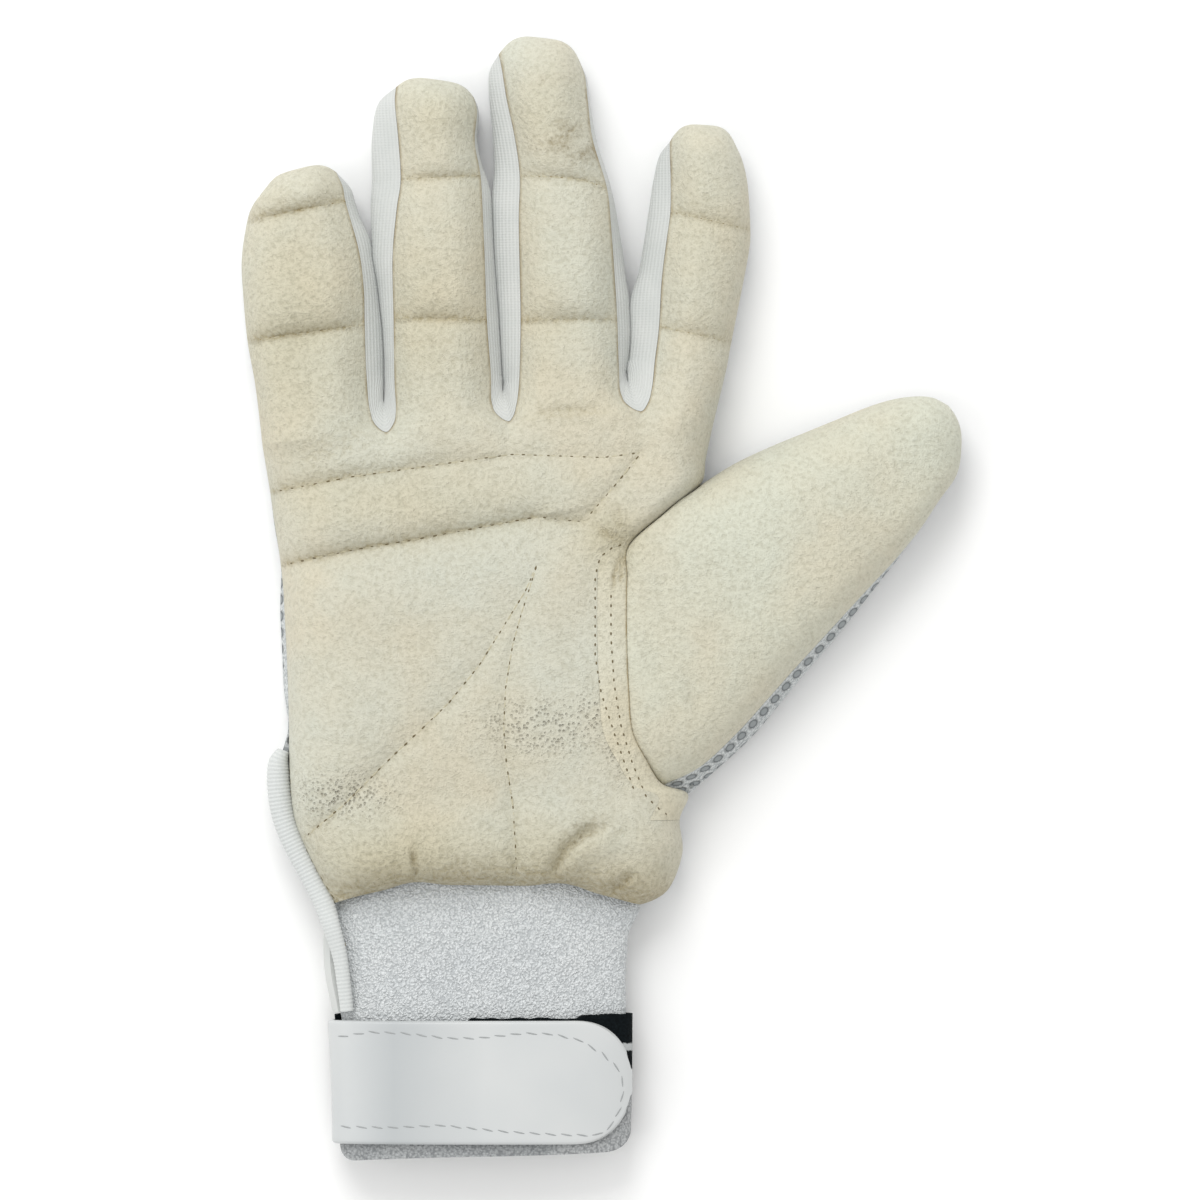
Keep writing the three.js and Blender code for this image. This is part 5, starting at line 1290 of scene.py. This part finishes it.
# The loop patch follows the wrist, and its lower corners are rounded by corner * (2 - rise - rise).
def patchGrid(offset):
    facets = np.linspace(patchShape["first"], patchShape["last"], patchShape["columns"])
    k, facet = positions(np.linspace(0, 1, patchShape["rows"]), facets)
    along = (facet - patchShape["first"]) / (patchShape["last"] - patchShape["first"])
    x = wristPoint(np.full(facet.shape, patchShape["leftLowerY"]), facet, offset)[..., 0]
    turns = 2 - rise(x.max() - x, patchShape["rightTurn"], True)
    turns = turns - rise(x - x.min(), patchShape["leftTurn"], True)
    corner = patchShape["corner"] * turns
    lower = mix(patchShape["rightLowerY"], patchShape["leftLowerY"], along) + corner
    return wristPoint(mix(patchShape["upperY"], lower, k), facet, offset)


patchMesh = layeredMesh(patchGrid(gap + patchShape["thickness"]), patchGrid(gap), False)
patchPiece = makeObject("loop_closure_patch", patchMesh, loopCloth)

strapShape = {"midY": -106.9, "halfWidth": 13.7, "bodyEndX": -6.0, "endX": 6.9, "endHalfWidth": 3.2,
              "offset": 1.8, "thickness": 1.4, "edgeRoll": 0.9, "edgeDrop": 0.7, "endPower": 2.4,
              "rows": 41, "edgeRows": [-0.985, -0.96, 0.96, 0.985],
              "facets": [[1.8, 3, 30], [3, 13, 90], [13, 17, 40]]}  # from, to, count


# The strap: half its width is halfWidth * sqrt(1 - u^endPower) past the body's end, and its top
# face drops by drop * (1 - sqrt(1 - (1 - e)^2)) at the edge.
def strapGrid(offset, drop):
    rows = sortedShares(np.linspace(-1, 1, strapShape["rows"]), strapShape["edgeRows"])
    facets = np.unique(np.concatenate([np.linspace(*part) for part in strapShape["facets"]]))
    k, facet = positions(rows, facets)
    x = wristPoint(np.full(facet.shape, strapShape["midY"]), facet, offset)[..., 0]
    toEnd = np.maximum(0, (x - strapShape["bodyEndX"]) / (strapShape["endX"] - strapShape["bodyEndX"]))
    bulge = np.sqrt(np.maximum(0, 1 - np.minimum(1, toEnd)**strapShape["endPower"]))
    half = np.maximum(strapShape["endHalfWidth"], strapShape["halfWidth"] * bulge)
    y = strapShape["midY"] - half * k
    edge = np.minimum(1, (1 - np.abs(k)) * half / strapShape["edgeRoll"])
    return wristPoint(y, facet, offset - drop * (1 - np.sqrt(1 - (1 - edge)**2)))


strapTop = strapGrid(strapShape["offset"] + strapShape["thickness"], strapShape["edgeDrop"])
strapMesh = layeredMesh(strapTop, strapGrid(strapShape["offset"], 0.0), False)
strapPiece = makeObject("coated_closing_strap", strapMesh, coated)
print("wrist made")

# Binding: an oval section along its path with ribs, radius * (1 + rib * cos(2 pi s / pitch)).
bindingShape = {"ringPoints": 28, "rowStep": 0.16, "ribPitch": 0.85, "rib": 0.024, "sharp": 80}
fine = np.linspace(0, len(bindingStations["x"]) - 1, 600)
fineRow = sample(bindingStations, fine)
length = np.concatenate([[0], np.cumsum(np.hypot(np.diff(fineRow["x"]), np.diff(fineRow["y"])))])
s = np.arange(0, length[-1], bindingShape["rowStep"])
t = np.interp(s, length, fine)
row = sample(bindingStations, t)
alongX = np.gradient(row["x"], s)
alongY = np.gradient(row["y"], s)
scale = np.hypot(alongX, alongY)
side = np.stack([-alongY / scale, alongX / scale, 0 * s], axis=1)
angle = np.arange(bindingShape["ringPoints"]) * 2 * np.pi / bindingShape["ringPoints"]
wave = np.cos(2 * np.pi * s / bindingShape["ribPitch"])
rib = 1 + bindingShape["rib"] * wave
a = row["width"][:, None] / 2 * np.cos(angle) * rib[:, None]
b = row["height"][:, None] / 2 * np.sin(angle) * rib[:, None]
turn = np.radians(row["roll"])[:, None]
centres = np.stack([row["x"], row["y"], row["z"]], axis=1)
rings = (centres[:, None] + side[:, None] * (a * np.cos(turn) - b * np.sin(turn))[..., None]
         + np.array([0, 0, 1.0]) * (a * np.sin(turn) + b * np.cos(turn))[..., None])
capStart = np.broadcast_to(centres[0], rings[:1].shape)
capEnd = np.broadcast_to(centres[-1], rings[:1].shape)
tubeRings = np.concatenate([capStart, rings, capEnd])
closed = np.concatenate([tubeRings, tubeRings[:, :1]], axis=1)
points = closed.reshape(-1, 3)
first, faces = weld(points, gridFaces(closed.shape[0], closed.shape[1], False), 4)
# Painted shade where the ribs dip between them.
grooveShade = np.repeat(np.concatenate([[0], 0.5 - 0.5 * wave, [0]]), closed.shape[1])
bindingPiece = makeObject("ribbed_vent_binding", {"points": points[first], "faces": faces}, ribbed,
                          {"grooveShade": grooveShade[first]}, bindingShape["sharp"])
print("binding made")

# Stitches and needle holes: pitch and size (length, width, height), how deep they sink, their
# slant to the seam in degrees, a start (as a share of the pitch) and how uneven the pitch is.
sewing = {
    "quilting_needle_holes": {"pitch": 2.7, "size": [1.05, 0.42, 0.4], "sink": 0.12, "uneven": 0.13},
    "finger_needle_holes": {"pitch": 2.7, "size": [0.9, 0.34, 0.32], "sink": 0.12, "uneven": 0.13},
    "quilting_thread": {"pitch": 2.7, "size": [2.0, 0.4, 0.34], "sink": 0.12, "start": 0.5},
    "band_needle_holes": {"pitch": 2.05, "size": [0.85, 0.46, 0.42], "sink": 0.08},
    "side_edge_stitches": {"pitch": 2.3, "size": [1.3, 0.36, 0.32], "sink": 0.05},
    "fold_edge_stitches": {"pitch": 1.7, "size": [1.15, 0.3, 0.28], "sink": 0.02, "uneven": 0.13},
    "strap_stitches": {"pitch": 3.5, "size": [2.7, 0.36, 0.3], "sink": 0.02, "slant": -9},
}
# One unit stitch: an oval of 8 sides and 5 rings, from cos and sin of two angles.
oval = {"sides": 8, "rings": 5, "castFrom": 0.2, "headingStep": 0.4}
theta, phi = positions(np.linspace(0, np.pi, oval["rings"] + 1),
                       np.arange(oval["sides"] + 1) * 2 * np.pi / oval["sides"])
unitOval = np.stack([np.cos(theta), np.sin(theta) * np.cos(phi), np.sin(theta) * np.sin(phi)], axis=-1)


# Stitches along a path: centres every pitch, each an oval that lies on the surface below it
# and turns with the path.
def stitches(name, paths, surfaces, material):
    form = sewing[name]
    pitch = form["pitch"]
    allPoints, allFaces, count = [], [], 0
    for path in paths:
        path = np.array(path, float)
        steps = np.hypot(*np.diff(path, axis=0).T)
        run = np.concatenate([[0], np.cumsum(steps)])
        at = np.arange(pitch * (0.5 + form.get("start", 0)), run[-1], pitch)
        shift = pitch * form.get("uneven", 0) * np.random.default_rng(len(at)).uniform(-1, 1, len(at))
        at = np.clip(at + shift, 0, run[-1])
        x, y = (np.interp(at, run, path[:, n]) for n in (0, 1))
        dx, dy = (np.interp(at + oval["headingStep"], run, path[:, n])
                  - np.interp(at - oval["headingStep"], run, path[:, n]) for n in (0, 1))
        heading = np.arctan2(dy, dx) + math.radians(form.get("slant", 0))
        for px, py, turn in zip(x, y, heading):
            origin = (Vector((px, py, 0)) + Vector(tableShift)) * mm + Vector((0, 0, oval["castFrom"]))
            hits = [tree.ray_cast(origin, Vector((0, 0, -1))) for tree in surfaces]
            hits = [hit for hit in hits if hit[0] is not None]
            if not hits:
                continue
            place, normal, _, _ = max(hits, key=lambda hit: hit[0].z)
            normal = np.array(normal)
            along = np.array([math.cos(turn), math.sin(turn), 0])
            along = along - normal * along.dot(normal)
            along /= np.linalg.norm(along)
            axes = np.array([along, np.cross(normal, along), normal])
            middle = np.array(place) / mm - tableShift - normal * form["sink"]
            allPoints.append((middle + (unitOval * np.array(form["size"]) / 2) @ axes).reshape(-1, 3))
            allFaces.append(gridFaces(*unitOval.shape[:2], False) + count)
            count += theta.size
    points = np.concatenate(allPoints)
    first, faces = weld(points, np.concatenate(allFaces), 4)
    return makeObject(name, {"points": points[first], "faces": faces}, material)


# What the stitches lie on, as ray-cast trees.
def surfaceTree(thing):
    data = thing.data
    corners = [v.co for v in data.vertices]
    return BVHTree.FromPolygons(corners, [list(p.vertices) for p in data.polygons])


suedeTrees = [surfaceTree(frontPanel), surfaceTree(thumbBand)]
foldTrees = [surfaceTree(foldPiece), surfaceTree(cuffPiece)]
quiltPaths = [seam["points"] for seam in quilts]
palmSeams = 7  # the first seams of the list; the rest are across the fingers
bandPaths = [
    [[5.0, 12.4], [2.3, 11.5], [-0.3, 9.5], [-1.4, 5.3], [-1.4, -12.2], [-0.1, -20.4], [3.0, -30.0],
     [7.0, -41.5]],
    [[2.1, 1.8], [2.1, -8.4], [2.8, -18.6], [4.3, -27.7], [6.8, -36.0], [9.9, -43.5], [13.4, -46.8],
     [15.8, -48.3]],
]
heelPath = [[[-69.3, -34.6], [-68.7, -47.1], [-66.7, -52.8], [-63.4, -59.5], [-59.4, -66.0]]]
strapPath = [[[-59.0, -97.0], [-51.6, -95.7], [-44.1, -95.9], [-33.9, -97.0], [-27.6, -97.0], [-17.4, -95.9],
              [-10.8, -96.1], [-4.8, -97.5], [0.3, -100.6], [3.9, -104.1], [5.0, -108.1], [3.9, -113.2],
              [1.4, -117.4], [-1.7, -118.6], [-11.0, -118.3], [-21.0, -117.7], [-35.4, -116.3],
              [-46.5, -116.8], [-58.6, -116.8]]]
foldPath = [[[-57.0, -75.5], [-56.4, -82.0], [-55.4, -91.0]]]
holes = stitches("quilting_needle_holes", quiltPaths[:palmSeams], suedeTrees, needleHole)
fingerHoles = stitches("finger_needle_holes", quiltPaths[palmSeams:], suedeTrees, goldenThread)
threads = stitches("quilting_thread", quiltPaths, suedeTrees, creamThread)
bandHoles = stitches("band_needle_holes", bandPaths, suedeTrees, needleHole)
edgeThread = stitches("side_edge_stitches", heelPath, suedeTrees, needleHole)
foldThread = stitches("fold_edge_stitches", foldPath, foldTrees, goldenThread)
strapThread = stitches("strap_stitches", strapPath, [surfaceTree(strapPiece)], greyThread)
print("stitches made")

# What each piece stands for, and its slot.
for piece, nodeName, slot in (
    (frontPanel, "front_panel", "chamois"), (thumbBand, "thumb_seam_band", "chamois_band"),
    (thumbFrontPiece, "thumb_front", "chamois"), (thumbBackPiece, "thumb_back", "mesh"),
    (backPiece, "back_panel", "mesh"), (cuffPiece, "cuff", "boucle"), (foldPiece, "vent_knit_fold", "knit"),
    (darkPiece, "wrist_band", "dark_elastic"), (patchPiece, "loop_patch", "loop_fabric"),
    (strapPiece, "strap", "coated_strap"), (bindingPiece, "vent_binding", "ribbed"),
    (holes, None, "chamois"), (threads, None, "chamois"), (bandHoles, None, "chamois_band"),
    (edgeThread, None, "chamois"), (strapThread, None, "coated_strap"), (fingerHoles, None, "chamois"),
    (foldThread, None, "knit"), *((piece, nodeName, "knit") for piece, nodeName in gussetPieces),
):
    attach(piece, "root")
    if nodeName:
        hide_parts(nodeName)


room = {"floor": "fbfbfa", "floorTone": "f4f4f3", "tone": 0.06, "toneSize": 300, "halfSize": 1.6, "sky": 0.79}


# Matt painted floor: almost white, with a tone so faint that it reads as seamless paper.
def floorMaterial(name, look):
    material, tree, shader, place = newMaterial(name)
    tone = addNode(tree, "noise", place, perMetre / look["toneSize"], 1, 0.5)
    tone = addNode(tree, "span", tone, 0, 1, 0, look["tone"])
    colour = addNode(tree, "blend", tone, linear(look["floor"]), linear(look["floorTone"]))
    tree.links.new(colour, shader.inputs["Base Color"])
    shader.inputs["Roughness"].default_value = 0.9
    return material


half = room["halfSize"] / mm
floorPoints = np.array([[-half, -half, 0], [half, -half, 0], [half, half, 0], [-half, half, 0]]) - tableShift
floor = makeObject("studio_floor", {"points": floorPoints, "faces": np.array([[0, 1, 2, 3]])},
                   floorMaterial("painted_studio_floor", room))


world = bpy.data.worlds.new("studio")
world.use_nodes = True
world.node_tree.nodes["Background"].inputs["Color"].default_value = (1, 1, 1, 1)
world.node_tree.nodes["Background"].inputs["Strength"].default_value = room["sky"]
bpy.context.scene.world = world


# A square soft box that looks at the glove.
def softBox(name, place, size, power):
    light = bpy.data.lights.new(name, "AREA")
    light.size = size
    light.energy = power
    lamp = bpy.data.objects.new(name, light)
    lamp.location = place
    lamp.rotation_euler = (Vector((0, 0, 0)) - Vector(place)).to_track_quat("-Z", "Y").to_euler()
    bpy.context.scene.collection.objects.link(lamp)


softBox("key_from_fingers", (-0.25, 0.85, 0.9), 0.7, 7.5)
softBox("fill_from_left", (-0.9, -0.2, 0.9), 0.8, 2.5)

# Straight from above: focal length = sensor * distance / the width that the picture shows.
view = {"distance": 2.4, "plane": 9.0, "mmPerPixel": 0.222, "pixels": 1200, "sensor": 36, "farClip": 20,
        "shift": [-0.31, -0.09]}
camera = bpy.data.cameras.new("camera")
camera.sensor_width = view["sensor"]
camera.lens = view["sensor"] * view["distance"] / (view["mmPerPixel"] * view["pixels"] * mm)
camera.clip_end = view["farClip"]
eye = bpy.data.objects.new("camera", camera)
eye.location = (view["shift"][0] * mm, view["shift"][1] * mm, view["plane"] * mm + view["distance"])
bpy.context.scene.collection.objects.link(eye)
bpy.context.scene.camera = eye
bpy.context.scene.view_settings.view_transform = "Standard"
